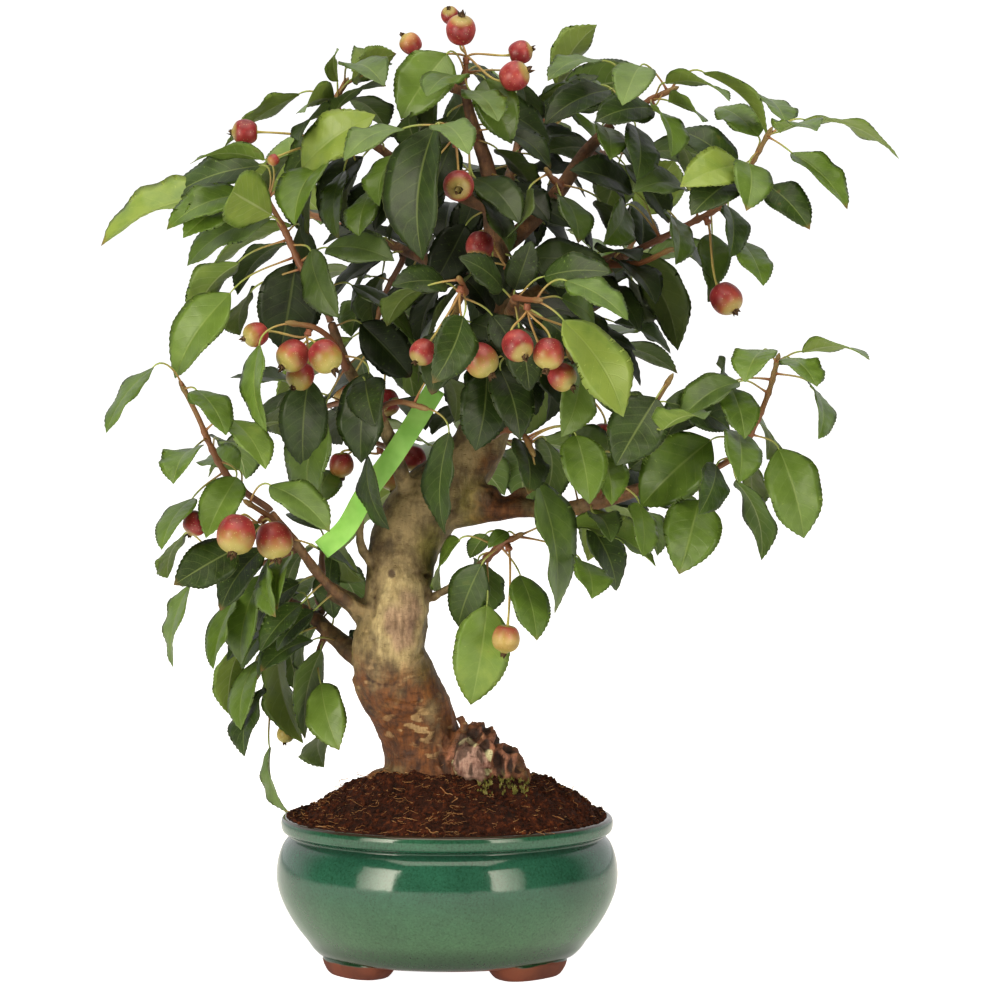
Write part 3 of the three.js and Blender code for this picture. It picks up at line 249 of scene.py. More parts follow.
def ring_frames(line, start=None):
    """The direction and two cross directions at each point of a line, carried without a twist."""
    side = Vector((1, 0.13, 0.07))
    frames = []
    for i in range(len(line)):
        along = start if i == 0 and start is not None else heading_at(line, i)
        side = (side - along * side.dot(along)).normalized()
        frames.append((along, side, along.cross(side)))
    return frames


def tube(piece, line, radii, sides, finish=0, start=None, swell=None, **values):
    """A closed round tube along a line; swell scales the radius by share of length and angle."""
    points = []
    for i, ((_, side, other), at, radius) in enumerate(zip(ring_frames(line, start), line, radii)):
        for turn, c, s in circle(sides):
            out = radius * (swell(i / (len(line) - 1), turn) if swell else 1)
            points.append(at + out * (c * side + s * other))
    spread = {}
    for name, value in values.items():
        per_ring = np.broadcast_to(np.asarray(value, float), len(line))
        spread[name] = np.concatenate([np.repeat(per_ring, sides), per_ring[[0, -1]]])
    piece.put(points + [line[0], line[-1]], ring_faces(len(line), sides), finish, **spread)


# %% [markdown]
# Stems are drawn through a few points. The smooth line through them is a centripetal
# Catmull-Rom curve, the kind that passes through every point without loops, so a twig can be
# set out with three or four readings.

# %% A smooth line through points
def smooth_point(points, t):
    """The point at t, from 0 to 1, on the centripetal Catmull-Rom curve through the points."""
    last = len(points) - 1
    k = min(int(t * last), last - 1)
    w = t * last - k
    p1, p2 = points[k], points[k + 1]
    p0 = points[k - 1] if k > 0 else p1 * 2 - p2
    p3 = points[k + 2] if k + 2 <= last else p2 * 2 - p1
    d0, d1, d2 = ((a - b).length ** 0.5 for a, b in ((p0, p1), (p1, p2), (p2, p3)))
    t1 = ((p1 - p0) / d0 - (p2 - p0) / (d0 + d1) + (p2 - p1) / d1) * d1
    t2 = ((p2 - p1) / d1 - (p3 - p1) / (d1 + d2) + (p3 - p2) / d2) * d1
    return p1 + t1 * w + (3 * (p2 - p1) - 2 * t1 - t2) * w ** 2 + (2 * (p1 - p2) + t1 + t2) * w ** 3


def smooth_line(points, steps):
    return [smooth_point(points, i / steps) for i in range(steps + 1)]


def bezier(p0, p1, p2, p3, steps):
    """Points along a cubic Bezier curve."""
    line = []
    for i in range(steps + 1):
        t = i / steps
        s = 1 - t
        line.append(p0 * s ** 3 + p1 * 3 * s * s * t + p2 * 3 * s * t * t + p3 * t ** 3)
    return line


def ease(s, low, high):
    """Rises smoothly from 0 at low to 1 at high."""
    t = min(1, max(0, (s - low) / (high - low)))
    return t * t * (3 - 2 * t)


def draws_from(seed):
    """Repeatable draws from 0 to 1 for one seed."""
    state = seed * 7919 + 12345

    def draw():
        nonlocal state
        state = state * 48271 % 2147483647
        return state / 2147483647

    return draw


# %% [markdown]
# These readings set out the tree: the trunk and its limbs, the pruned stubs, the knobs of the
# burl, the tag, and then every leafy shoot with its leaves and fruit. The letters in `tones`
# give each read leaf's look in turn: dark, middle, light, bright, or dusty grey, whose grey is
# partly real dust and partly a painted sheen.

# %% The readings
# Each row: x, y, depth, diameter in mm.
TRUNK = [
    [436, 872, 0, 24], [433, 850, 0, 40], [431, 826, 0, 54], [430, 800, 0, 56], [428, 778, 0, 53],
    [422, 745, 0, 48], [411, 712, -3, 49], [394, 678, -8, 51], [388, 650, -10, 45], [394, 620, -9, 42],
    [399, 590, -7, 41], [401, 560, -3, 42], [411, 530, 2, 45], [432, 500, 4, 44], [456, 476, 6, 37],
    [477, 448, 8, 32], [491, 410, 8, 28], [500, 366, 8, 24], [503, 320, 6, 19.5], [500, 280, 4, 16],
    [495, 240, 3, 13.5], [492, 200, 1, 11.5], [487, 165, 0, 9.5], [475, 130, 0, 8], [468, 104, 0, 6.5],
    [464, 84, 0, 5.4],
]

LIMBS = {
    "right_low": [[440, 512, 2, 24], [474, 512, -4, 17], [515, 508, -14, 12.5], [560, 510, -22, 10.5],
        [605, 500, -28, 9.5], [645, 487, -32, 8]],
    "left_high": [[410, 505, 0, 12], [400, 468, -14, 10], [386, 430, -24, 8.5], [364, 395, -30, 7.5],
        [346, 362, -34, 7], [332, 322, -36, 6]],
    "left_low": [[388, 622, -12, 9], [352, 605, -24, 7.5], [322, 578, -30, 6.5], [300, 548, -34, 6],
        [272, 512, -36, 5]],
    "left_back": [[378, 672, 0, 16], [340, 643, 18, 12], [312, 618, 34, 9], [290, 604, 44, 7]],
    "right_high": [[498, 315, 6, 15], [545, 290, 10, 12], [590, 268, 16, 10], [622, 255, 18, 8]],
    "top_right": [[494, 252, 3, 12], [530, 222, 8, 10.5], [560, 188, 12, 9.5], [586, 150, 16, 8],
        [612, 122, 18, 6.5]],
    "front": [[502, 345, 6, 13], [508, 325, -30, 10], [513, 308, -66, 8], [515, 300, -88, 6.5]],
    "front_left": [[496, 372, 6, 12], [478, 356, -6, 9], [462, 342, -18, 7.5], [454, 322, -42, 6.5],
        [458, 303, -64, 6], [464, 294, -80, 5]],
    "back_right": [[500, 370, 10, 14], [530, 345, 45, 10], [570, 318, 85, 8], [600, 300, 115, 6]],
    "back_left": [[498, 300, 8, 13], [450, 270, 45, 9], [400, 245, 85, 7], [360, 230, 110, 5.5]],
    "back_low": [[446, 482, 8, 15], [455, 455, 42, 11], [470, 440, 78, 9], [480, 430, 108, 6.5]],
    "back_top": [[493, 230, 3, 11], [505, 190, 35, 8], [515, 155, 62, 6.5], [520, 130, 84, 5]],
    "left_top": [[491, 206, 1, 10], [450, 190, 2, 8], [410, 168, 2, 6.5], [370, 140, 6, 5.5],
        [345, 122, 10, 5]],
    "right_twig": [[418, 606, -10, 5.4], [455, 585, -22, 4.6], [485, 560, -32, 4]],
}

# The plastic tag's line: x, y and depth.
TAG_PATH = [[436, 388, -24], [414, 424, -27], [392, 458, -30], [366, 494, -33], [345, 530, -36],
    [322, 550, -38]]

# Short pruned ends: x, y, depth, diameter at the root, the bend and the cut.
STUBS = {
    "left_cut": [[385, 640, -10, 16], [352, 605, -2, 12], [330, 590, 4, 10.5]],
    "left_thin": [[384, 580, -12, 7], [362, 548, -16, 5.5], [361, 508, -18, 4]],
    "right_dead": [[505, 508, -6, 9], [520, 494, -10, 7], [533, 487, -12, 5.5]],
    "apex_cut": [[466, 92, 0, 6], [456, 88, -6, 6.4], [450, 87, -9, 6.4]],
    "burl_thin": [[470, 745, -20, 8], [464, 728, -24, 6.5], [459, 717, -25, 5.5]],
}

# The burl and root knobs: x, y, depth, and radii across, in depth and in height, in mm.
KNOBS = [
    [476, 759, -14, 18, 15, 21], [500, 766, -16, 13, 12, 12], [514, 782, -14, 10, 11, 9],
    [386, 790, -8, 15, 15, 12], [440, 800, -22, 14, 12, 12],
    [484, 497, -6, 10, 8, 8],
]

# Each leaf: x and y of the blade's foot, x and y of its tip, the width seen, the side its
# tip leans to (-1 to the front, 1 to the back), and the true length in mm where it is small.
# Each fruit: x, y, depth, radius in drawing units, and the calyx's x and y.
SPRAYS = {
    "left_top": dict(
        on="left_high", fill=1, tones="bdgmbmgdgglmmldd",
        twig=[[318, 290, -34], [300, 262, -30], [288, 235, -26], [276, 212, -22], [268, 198, -20]],
        leaves=[[222, 197, 101, 241, 22, -1], [262, 165, 168, 193, 30, 1], [266, 160, 193, 157, 18, -1],
          [250, 195, 170, 226, 15, -1], [303, 168, 372, 112, 40, -1], [238, 205, 187, 236, 16, -1],
          [272, 218, 187, 263, 26, -1], [297, 262, 279, 350, 64, -1], [312, 250, 339, 318, 35, -1],
          [328, 248, 393, 255, 27, -1], [232, 293, 172, 376, 45, -1], [240, 262, 190, 318, 30, 1],
          [252, 292, 235, 331, 14, 1], [352, 285, 418, 340, 18, -1],
          [286, 242, 236, 290, 28, 1], [300, 224, 318, 258, 26, 1]],
    ),
    "upper_left": dict(
        on="left_top", tones="mmdgmmdmd",
        twig=[[340, 113, 12], [336, 100, 14], [345, 82, 16]],
        leaves=[[335, 97, 305, 110, 28, -1], [300, 92, 223, 142, 20, -1], [330, 112, 297, 135, 25, -1],
          [349, 66, 386, 80, 14, -1], [338, 80, 337, 47, 12, -1, 28], [380, 60, 352, 62, 30, 1],
          [333, 112, 386, 82, 14, -1],
          [352, 78, 394, 50, 28, 1], [346, 96, 386, 122, 26, 1]],
    ),
    "upper_left_inner": dict(
        on="left_top", at=[412, 169, 2], tones="mm",
        twig=[[404, 166, -14], [396, 158, -28]],
        leaves=[[395, 155, 380, 205, 25, -1], [372, 190, 360, 235, 28, -1]],
    ),
    "left_fruit": dict(
        on="left_top", at=[368, 139, 6], fill=1, tones="mmmm",
        twig=[[345, 150, -8], [318, 152, -14]],
        leaves=[[312, 168, 304, 232, 24, 1], [345, 170, 338, 238, 26, -1], [300, 150, 262, 196, 20, 1],
          [356, 165, 349, 228, 22, 1]],
        fruit=[[247, 132, -22, 13, 229, 132], [275, 160, -30, 6, 268, 165]],
    ),
    "leader": dict(
        on="trunk", fruit_at=1, tones="lmmmdmdd",
        twig=[[465, 73, 0], [466, 63, 0]],
        leaves=[[447, 53, 402, 118, 55, -1], [460, 78, 428, 95, 16, -1], [470, 90, 500, 120, 20, -1],
          [485, 78, 512, 143, 30, -1], [522, 80, 526, 123, 25, 1], [445, 80, 430, 128, 24, 1],
          [462, 84, 446, 126, 24, 1], [478, 66, 500, 98, 20, 1]],
        fruit=[[411, 42, 14, 11, 403, 33], [461, 30, -12, 15, 462, 17], [450, 14, 8, 9, 449, 8],
          [520, 51, 5, 12, 534, 47], [514, 76, -18, 15, 527, 70]],
    ),
    "centre_top": dict(
        on="trunk", at=[477, 136, 0], tones="dglgmdg",
        twig=[[459, 140, -34], [448, 128, -86]],
        leaves=[[436, 128, 418, 262, 54, -1], [440, 128, 470, 155, 25, -1],
          [475, 192, 513, 250, 14, -1], [475, 178, 520, 222, 30, -1], [497, 148, 535, 187, 25, 1],
          [425, 180, 400, 245, 28, 1], [405, 132, 345, 158, 14, -1]],
        fruit=[[459, 187, -66, 15.5, 459, 189]],
    ),
    "centre_right": dict(
        on="trunk", at=[500, 288, 4], tones="gml",
        twig=[[510, 276, -30], [520, 262, -58]],
        leaves=[[527, 258, 613, 268, 40, -1], [533, 318, 565, 342, 16, -1],
          [472, 273, 412, 380, 20, -1]],
        fruit=[[480, 245, -30, 14, 478, 257]],
    ),
    "front_centre": dict(
        on="front", tones="bmm",
        twig=[[524, 301, -98], [537, 302, -106]],
        leaves=[[562, 322, 627, 414, 45, -1], [560, 300, 600, 332, 24, 1],
          [565, 283, 626, 318, 25, -1]],
        fruit=[[517, 347, -126, 15.5, 523, 355], [548, 355, -122, 15.5, 546, 368],
          [580, 350, -106, 15, 576, 359], [561, 378, -114, 14, 570, 386]],
    ),
    "front_low": dict(
        on="front", at=[510, 318, -44], fill=1, tones="ddlm",
        twig=[[516, 340, -54], [522, 358, -62], [536, 372, -68]],
        leaves=[[487, 372, 478, 450, 50, -1], [500, 370, 521, 437, 40, -1],
          [580, 365, 565, 436, 34, -1], [600, 395, 636, 420, 26, 1]],
    ),
    "front_left": dict(
        on="front_left", tones="dm",
        twig=[[463, 286, -90], [460, 281, -98]],
        leaves=[[464, 318, 438, 382, 45, -1], [425, 290, 387, 320, 26, 1]],
        fruit=[[481, 361, -92, 17, 490, 373], [424, 353, -98, 13, 418, 361]],
    ),
    "left_mid_fruit": dict(
        on="left_high", at=[347, 364, -34], tones="dmdm",
        twig=[[334, 342, -48], [316, 328, -60], [294, 324, -66]],
        leaves=[[310, 378, 302, 468, 48, 1], [325, 412, 305, 520, 24, -1], [370, 372, 357, 463, 47, -1],
          [262, 345, 262, 432, 24, -1]],
        fruit=[[258, 335, -60, 12.5, 248, 338], [295, 356, -72, 16, 286, 365],
          [327, 357, -86, 16.5, 335, 368], [302, 376, -52, 14, 296, 385]],
    ),
    "left_mid": dict(
        on="left_low", tones="mmlmmmmd",
        twig=[[246, 492, -38], [226, 472, -38], [212, 446, -36], [200, 418, -34], [184, 386, -32]],
        leaves=[[156, 367, 106, 431, 25, -1], [198, 390, 228, 434, 30, -1],
          [235, 420, 268, 463, 30, -1], [197, 448, 173, 478, 20, -1], [240, 470, 202, 456, 25, 1],
          [238, 477, 210, 536, 40, -1], [195, 498, 164, 546, 22, -1],
          [218, 440, 244, 474, 22, 1]],
    ),
    "left_low_fruit": dict(
        on="left_low", at=[291, 536, -35], tones="dgd",
        twig=[[272, 518, -52], [250, 503, -64]],
        leaves=[[240, 548, 176, 582, 45, -1], [272, 485, 331, 530, 28, -1],
          [318, 548, 366, 582, 25, 1]],
        fruit=[[198, 523, -58, 12.5, 192, 534], [239, 534, -82, 19.5, 236, 549],
          [276, 540, -66, 18.5, 279, 556]],
    ),
    "left_low_outer": dict(
        on="left_low", at=[300, 548, -34], tones="mmmmmm",
        twig=[[280, 558, -20], [250, 567, -8], [222, 574, 0]],
        leaves=[[183, 535, 163, 575, 16, 1], [190, 585, 170, 668, 18, -1], [235, 598, 213, 668, 22, -1],
          [262, 575, 240, 666, 28, 1], [293, 555, 275, 605, 18, -1], [270, 558, 272, 615, 28, -1]],
    ),
    "low_left": dict(
        on="left_back", fill=1, tones="mmdlmdm",
        twig=[[276, 614, 49], [269, 640, 50], [266, 680, 48], [268, 716, 48]],
        leaves=[[240, 645, 220, 715, 30, 1], [255, 662, 238, 730, 25, -1], [262, 690, 242, 757, 45, -1],
          [275, 640, 297, 748, 26, -1], [268, 750, 283, 820, 16, -1],
          [288, 628, 292, 692, 34, 1], [296, 612, 262, 656, 30, 1]],
        fruit=[[227, 702, 76, 9, 224, 710], [283, 738, 80, 9, 282, 746]],
    ),
    "low_left_inner": dict(
        on="left_back", at=[325, 630, 26], tones="dlm",
        twig=[[318, 652, 34], [312, 678, 40]],
        leaves=[[320, 650, 297, 740, 30, 1], [320, 685, 338, 750, 42, -1], [325, 735, 317, 771, 26, 1]],
    ),
    "trunk_left": dict(
        on="left_high", at=[378, 416, -27], tones="ddm",
        twig=[[382, 408, -46], [400, 402, -60], [424, 408, -68]],
        leaves=[[450, 432, 440, 535, 35, -1], [368, 455, 385, 530, 18, -1],
          [440, 372, 458, 418, 26, 1]],
    ),
    "behind_left": dict(
        on="left_high", at=[394, 452, -17], tones="m",
        twig=[[379, 444, 18], [372, 438, 44]],
        leaves=[[330, 470, 312, 506, 22, -1]],
        fruit=[[341, 464, 26, 12.5, 342, 478], [392, 477, 40, 13, 392, 489],
          [413, 458, 58, 13, 414, 470]],
    ),
    "right_twig": dict(
        on="right_twig", tones="mlmmdlddm",
        twig=[[503, 544, -38], [518, 536, -42]],
        leaves=[[520, 575, 540, 636, 35, -1], [487, 605, 473, 706, 50, -1], [460, 540, 435, 592, 24, 1],
          [580, 560, 594, 594, 22, -1], [478, 560, 482, 618, 30, 1], [565, 525, 657, 563, 24, -1],
          [482, 564, 456, 628, 32, 1], [486, 534, 470, 558, 20, 1, 22],
          [508, 532, 488, 546, 14, -1, 20]],
        fruit=[[506, 638, -66, 14, 504, 653]],
    ),
    "front_right_low": dict(
        on="trunk", at=[484, 432, 8], tones="gmddm",
        twig=[[505, 430, -30], [524, 436, -58], [532, 452, -70]],
        leaves=[[537, 480, 562, 613, 60, -1], [575, 435, 590, 500, 45, -1], [545, 440, 548, 500, 34, 1],
          [520, 440, 532, 490, 26, -1], [570, 430, 610, 470, 36, 1]],
    ),
    "right_low_inner": dict(
        on="right_low", at=[602, 501, -28], tones="mdmmdd",
        twig=[[613, 478, -44], [630, 446, -56], [650, 410, -62], [668, 380, -60]],
        leaves=[[638, 503, 643, 555, 28, -1], [655, 398, 615, 465, 60, -1],
          [600, 455, 612, 500, 26, -1], [660, 430, 700, 412, 30, -1],
          [664, 402, 732, 428, 34, 1], [664, 436, 712, 404, 26, 1]],
    ),
    "right_low": dict(
        on="right_low", tones="mmmmdgmmmmmdmdm",
        twig=[[682, 477, -36], [712, 469, -38], [738, 452, -38], [756, 420, -36], [768, 390, -34],
          [776, 360, -32]],
        leaves=[[800, 352, 867, 357, 18, -1], [787, 358, 813, 385, 25, -1],
          [808, 385, 821, 435, 16, -1], [762, 350, 740, 376, 25, -1], [718, 390, 722, 362, 18, 1],
          [738, 382, 676, 417, 28, -1], [730, 388, 742, 436, 36, -1], [757, 420, 772, 458, 14, 1],
          [777, 448, 805, 538, 56, -1], [737, 432, 735, 480, 42, -1], [710, 440, 638, 505, 65, -1],
          [715, 465, 703, 513, 32, -1], [698, 500, 677, 571, 62, -1], [735, 480, 765, 557, 28, 1],
          [744, 455, 752, 506, 26, 1]],
    ),
    "right_high": dict(
        on="right_high", fruit_at=0.5, tones="mmmmdmmdbddmmmmdgd",
        twig=[[655, 240, 14], [690, 222, 10], [722, 203, 6], [745, 172, 2], [768, 132, -2]],
        leaves=[[802, 119, 900, 153, 18, -1], [785, 120, 765, 91, 22, 1], [778, 132, 813, 130, 15, -1],
          [790, 152, 847, 203, 25, -1], [768, 185, 806, 226, 35, -1], [748, 163, 745, 207, 42, -1],
          [758, 135, 720, 98, 30, 1], [735, 168, 676, 122, 30, 1], [740, 165, 682, 187, 30, -1],
          [735, 178, 692, 215, 30, -1], [727, 205, 731, 258, 28, -1], [740, 240, 765, 280, 27, -1],
          [712, 232, 713, 287, 26, -1], [667, 212, 680, 262, 20, -1], [625, 205, 608, 244, 34, -1],
          [632, 190, 572, 168, 28, -1], [682, 185, 634, 190, 26, -1],
          [642, 246, 640, 196, 34, 1]],
        fruit=[[725, 298, -18, 16, 733, 308]],
    ),
    "right_high_inner": dict(
        on="right_high", at=[608, 261, 17], tones="mmm",
        twig=[[640, 262, -8], [668, 250, -22]],
        leaves=[[630, 250, 683, 347, 45, -1], [632, 278, 645, 318, 24, 1], [690, 255, 712, 300, 22, 1]],
    ),
    "top_right": dict(
        on="top_right", tones="gmgmmmddmdmm",
        twig=[[634, 108, 16], [650, 98, 14], [672, 88, 12]],
        leaves=[[600, 60, 546, 76, 8, -1], [600, 83, 536, 97, 8, 1], [640, 65, 620, 103, 40, -1],
          [665, 82, 728, 98, 16, -1], [668, 100, 702, 120, 18, -1], [703, 71, 773, 133, 18, -1],
          [652, 106, 598, 118, 28, -1], [610, 88, 545, 120, 28, -1], [652, 108, 675, 155, 16, -1],
          [635, 125, 640, 178, 32, -1], [602, 125, 612, 158, 26, -1],
          [676, 138, 690, 186, 22, 1]],
    ),
    "centre_high_right": dict(
        on="top_right", at=[562, 186, 12], tones="mmmd",
        twig=[[552, 178, -14], [546, 170, -32]],
        leaves=[[600, 200, 622, 240, 34, 1], [528, 190, 512, 240, 24, -1],
          [560, 195, 578, 240, 26, -1],
          [548, 182, 532, 214, 24, 1]],
    ),
    "back_right": dict(
        on="back_right", fill=4,
        twig=[[622, 262, 128], [640, 226, 140]],
    ),
    "back_right_low": dict(
        on="back_right", at=[570, 318, 85], fruit_at=1, fill=4,
        twig=[[580, 352, 104], [586, 384, 120]],
        fruit=[[640, 424, 140, 14, 644, 437], [606, 436, 150, 15, 604, 450]],
    ),
    "back_left": dict(
        on="back_left", fill=4,
        twig=[[326, 216, 124], [300, 205, 130]],
    ),
    "back_left_mid": dict(
        on="back_left", at=[402, 246, 84], fill=3, tones="dddd",
        twig=[[384, 290, 106], [372, 330, 122]],
        leaves=[[408, 325, 398, 385, 24, 1],
          [370, 290, 344, 326, 30, 1], [392, 320, 412, 392, 34, 1], [372, 338, 362, 384, 26, 1]],
        fruit=[[346, 390, 134, 15, 342, 404], [384, 400, 148, 14, 386, 413]],
    ),
    "back_low": dict(
        on="back_low", fill=3, tones="d",
        twig=[[500, 438, 128], [520, 446, 146]],
        leaves=[[514, 448, 522, 508, 36, 1]],
    ),
    "back_low_left": dict(
        on="back_low", at=[470, 440, 78], fill=4,
        twig=[[444, 458, 100], [420, 478, 122]],
    ),
    "back_top": dict(
        on="back_top", fill=4, tones="d",
        twig=[[534, 112, 98], [548, 100, 108]],
        leaves=[[585, 82, 636, 51, 28, 1]],
        fruit=[[566, 98, 122, 13, 568, 87], [590, 84, 128, 14, 602, 80]],
    ),
    "back_top_left": dict(
        on="back_top", at=[506, 188, 36], fill=3, tones="dd",
        twig=[[468, 172, 66], [440, 158, 90]],
        leaves=[[518, 178, 555, 222, 22, 1], [520, 200, 526, 246, 24, -1]],
    ),
    "back_right_high": dict(
        on="top_right", at=[588, 148, 16], fill=3, tones="d",
        twig=[[606, 150, 50], [628, 146, 82]],
        leaves=[[598, 148, 548, 142, 34, 1]],
    ),
    "back_left_low": dict(
        on="left_high", at=[366, 398, -30], fill=3, tones="dmd",
        twig=[[332, 404, 14], [302, 412, 50]],
        leaves=[[290, 388, 268, 426, 24, 1], [290, 400, 276, 430, 24, 1], [350, 400, 338, 440, 26, 1]],
    ),
    "back_right_base": dict(
        on="right_low", at=[562, 510, -22], fill=3, tones="md",
        twig=[[586, 500, 22], [612, 490, 62]],
        leaves=[[604, 502, 646, 522, 26, 1], [630, 506, 664, 552, 24, 1]],
    ),
    "left_back_top": dict(
        on="left_back", at=[312, 618, 34], tones="ddd",
        twig=[[316, 598, 50], [324, 578, 60]],
        leaves=[[328, 566, 362, 606, 36, 1], [310, 578, 284, 612, 30, 1], [322, 592, 302, 642, 28, 1]],
    ),
    "left_low_back": dict(
        on="left_low", at=[322, 578, -30], tones="dmd",
        twig=[[322, 556, -8], [328, 538, 10]],
        leaves=[[320, 530, 294, 506, 26, 1], [336, 532, 354, 580, 26, 1], [306, 548, 282, 592, 26, 1]],
    ),
    "back_centre": dict(
        on="back_left", at=[430, 258, 60], tones="dddd",
        twig=[[444, 242, 72], [454, 228, 82]],
        leaves=[[460, 220, 472, 270, 36, 1], [440, 250, 418, 300, 32, 1], [464, 250, 482, 334, 36, 1],
          [438, 230, 408, 262, 26, 1]],
    ),
    "back_right_inner": dict(
        on="back_right", at=[530, 345, 45], tones="dddd",
        twig=[[538, 318, 64], [544, 298, 80]],
        leaves=[[540, 284, 514, 262, 28, 1], [554, 298, 594, 316, 30, 1], [548, 320, 560, 374, 32, 1],
          [530, 310, 504, 346, 26, 1]],
    ),
}


# %% [markdown]
# Bark on a crabapple this young is thin and almost smooth, so its look is in the form: a callus
# that bulges over old wounds, knots, creases and a knobbly burl. Swept tubes alone would show
# seams where limbs join, so all of them are gathered and remeshed as one skin with a 1.4 mm
# voxel grid, then smoothed, and the small relief is pushed out along the normals.

# %% The trunk's tubes
TRUNK_RINGS = 18
FLARE = {"top": 4.5, "ribs": 0.1, "wander": 0.045}


def trunk_swell(s, turn):
    """How far the trunk swells out of round: root ribs at its foot, a slow wander above."""
    root = max(0, 1 - s * FLARE["top"])
    wander = FLARE["wander"] * math.cos(2 * turn + 9 * s) * (1 - s)
    return 1 + FLARE["ribs"] * root * math.cos(3 * turn + 0.8) + wander


def stations(rows, steps):
    """Evenly spaced points and radii along the smooth line through the rows."""
    points = [on_elevation(x, y, depth) for x, y, depth, _ in rows]
    line = smooth_line(points, steps)
    radii = []
    for i in range(steps + 1):
        t = i / steps * (len(rows) - 1)
        k = min(int(t), len(rows) - 2)
        radii.append((rows[k][3] + (rows[k + 1][3] - rows[k][3]) * (t - k)) / 2)
    return line, radii


limb_stations = {name: stations(rows, len(rows) - 1) for name, rows in LIMBS.items()}
limb_stations["trunk"] = stations(TRUNK, TRUNK_RINGS)

FINE_SIDES = 28
LIMB_SIDES = 14
RING_STEP = 2.0


def fine_tube(piece, rows, sides, swell=None):
    """A finely stepped tube along a limb's rows."""
    length = length_of([on_elevation(*row[:3]) for row in rows])
    line, radii = stations(rows, max(4, round(length / RING_STEP)))
    tube(piece, line, radii, sides, swell=swell)


wood = Piece()
fine_tube(wood, TRUNK, FINE_SIDES, trunk_swell)
for rows in [*LIMBS.values(), *STUBS.values()]:
    fine_tube(wood, rows, LIMB_SIDES)


def ball(piece, centre, radii, turns=20, levels=12):
    """A closed ellipsoid."""
    wide, deep, tall = radii
    points = []
    for level in range(1, levels):
        rise = math.pi * (level / levels - 0.5)
        points += [centre + Vector((wide * math.cos(rise) * c, deep * math.cos(rise) * s,
                                    tall * math.sin(rise))) for _, c, s in circle(turns)]
    piece.put(points + [centre - UP * tall, centre + UP * tall], ring_faces(levels - 1, turns))


# Low bulges of callus over old wounds, laid out as the knobs are.
BULGES = [[396, 574, -21, 7, 7, 6], [406, 608, -19, 10, 7, 16]]
for knob_x, knob_y, knob_depth, *knob_radii in KNOBS + BULGES:
    ball(wood, on_elevation(knob_x, knob_y, knob_depth), knob_radii)

# %% [markdown]
# The voxel skin closes the joints between tubes, and a few smoothing rounds take its steps away.

# %% One skin over trunk, limbs and knobs
VOXEL = 1.35
SMOOTHING = 5

rough = placed("rough_wood", wood.mesh("rough_wood", []))
remesh = rough.modifiers.new("skin", "REMESH")
remesh.mode = "VOXEL"
remesh.voxel_size = VOXEL * MM
remesh.use_smooth_shade = True
relax = rough.modifiers.new("relax", "SMOOTH")
relax.factor = 0.5
relax.iterations = SMOOTHING
bpy.context.view_layer.update()
bark_mesh = bpy.data.meshes.new_from_object(rough.evaluated_get(bpy.context.evaluated_depsgraph_get()))
bark_mesh.name = "bark"
bpy.data.objects.remove(rough)
print("bark skin", len(bark_mesh.polygons), "faces")

# %% [markdown]
# The relief is worked out point by point: long soft wrinkles across the trunk, lumps on the burl,
# round knots, curved creases and a sawn face at the burl. The same sums give each point its
# share of rust, olive, dark and pale cut wood, and the bark's shader mixes them. The dark share
# is real on the scars and knots, is painted shade in the creases and in the hollows of the burl
# and the wound, and draws a dark line round the callus.

# %% Relief and marks of the bark
# Each knot: x, y, depth, and radius in mm.
KNOTS = [(392, 574, -26, 2.9), (427, 578, -24, 1.8), (375, 597, -22, 1.3)]
# Each crease: the start, middle and end as x, y; then depth, half-width in mm and the darkness
# of the painted shade along it.
CREASES = [((364, 676), (380, 692), (398, 681), -28, 1.7, 1.2),
           ((411, 661), (415, 659), (419, 655), -24, 0.9, 0.6),
           ((409, 576), (418, 572), (427, 577), -28, 0.8, 0.6),
           ((375, 586), (372, 600), (374, 616), -22, 1.1, 0.7),
           ((428, 594), (434, 620), (414, 657), -24, 1.6, 0.25),
           ((388, 700), (402, 708), (424, 703), -28, 1.0, 0.3),
           ((350, 640), (346, 655), (352, 676), -10, 1.6, 0.7)]
# The callus over an old wound: its middle, and its half-width and half-height in mm.
CALLUS = {"at": (402, 620, -26), "half": (15, 27)}
SAWN = {"at": (473, 766, -31), "facing": Vector((-0.18, -0.95, 0.22)).normalized(), "half": (11.5, 13)}
BURL = (487, 764, -14)
WOUND = (497, 492, -8)
SCAR = (500, 488, -14)
MOSS_FOOT = (505, 786, -20)
PEEL = (420, 728, -28)


def near(points, centre, radius):
    """1 at a centre, falling smoothly to 0 at a radius."""
    away = np.linalg.norm(points - np.array(centre), axis=1) / radius
    return np.clip(1 - away, 0, 1) ** 2 * (1 + 2 * np.clip(away, 0, 1))


def noise_at(points, size, seed=0.0):
    """Smooth noise from -1 to 1 with lumps of about this many millimetres."""
    shift = Vector((seed, 2.7 * seed, -seed))
    return np.array([noise.noise(Vector(p) / size + shift) for p in points.tolist()])


def to_mm(mesh):
    places = np.empty(len(mesh.vertices) * 3)
    mesh.vertices.foreach_get("co", places)
    return (places.reshape(-1, 3) - np.array(POT_AXIS)) / MM


def folded_at(points, size, seed):
    """Noise of sharp ridges between round hollows, from -1 to 1."""
    return 1 - 4 * np.abs(noise_at(points, size, seed))


points = to_mm(bark_mesh)
normals = np.empty(len(points) * 3)
bark_mesh.vertices.foreach_get("normal", normals)
normals = normals.reshape(-1, 3)
height = points[:, 2]
front = np.clip(0.3 - normals[:, 1], 0, 0.5) * 2
burl_share = np.clip(1.5 * near(points, on_elevation(*BURL), 44), 0, 1)
wound_share = near(points, on_elevation(*WOUND), 20)

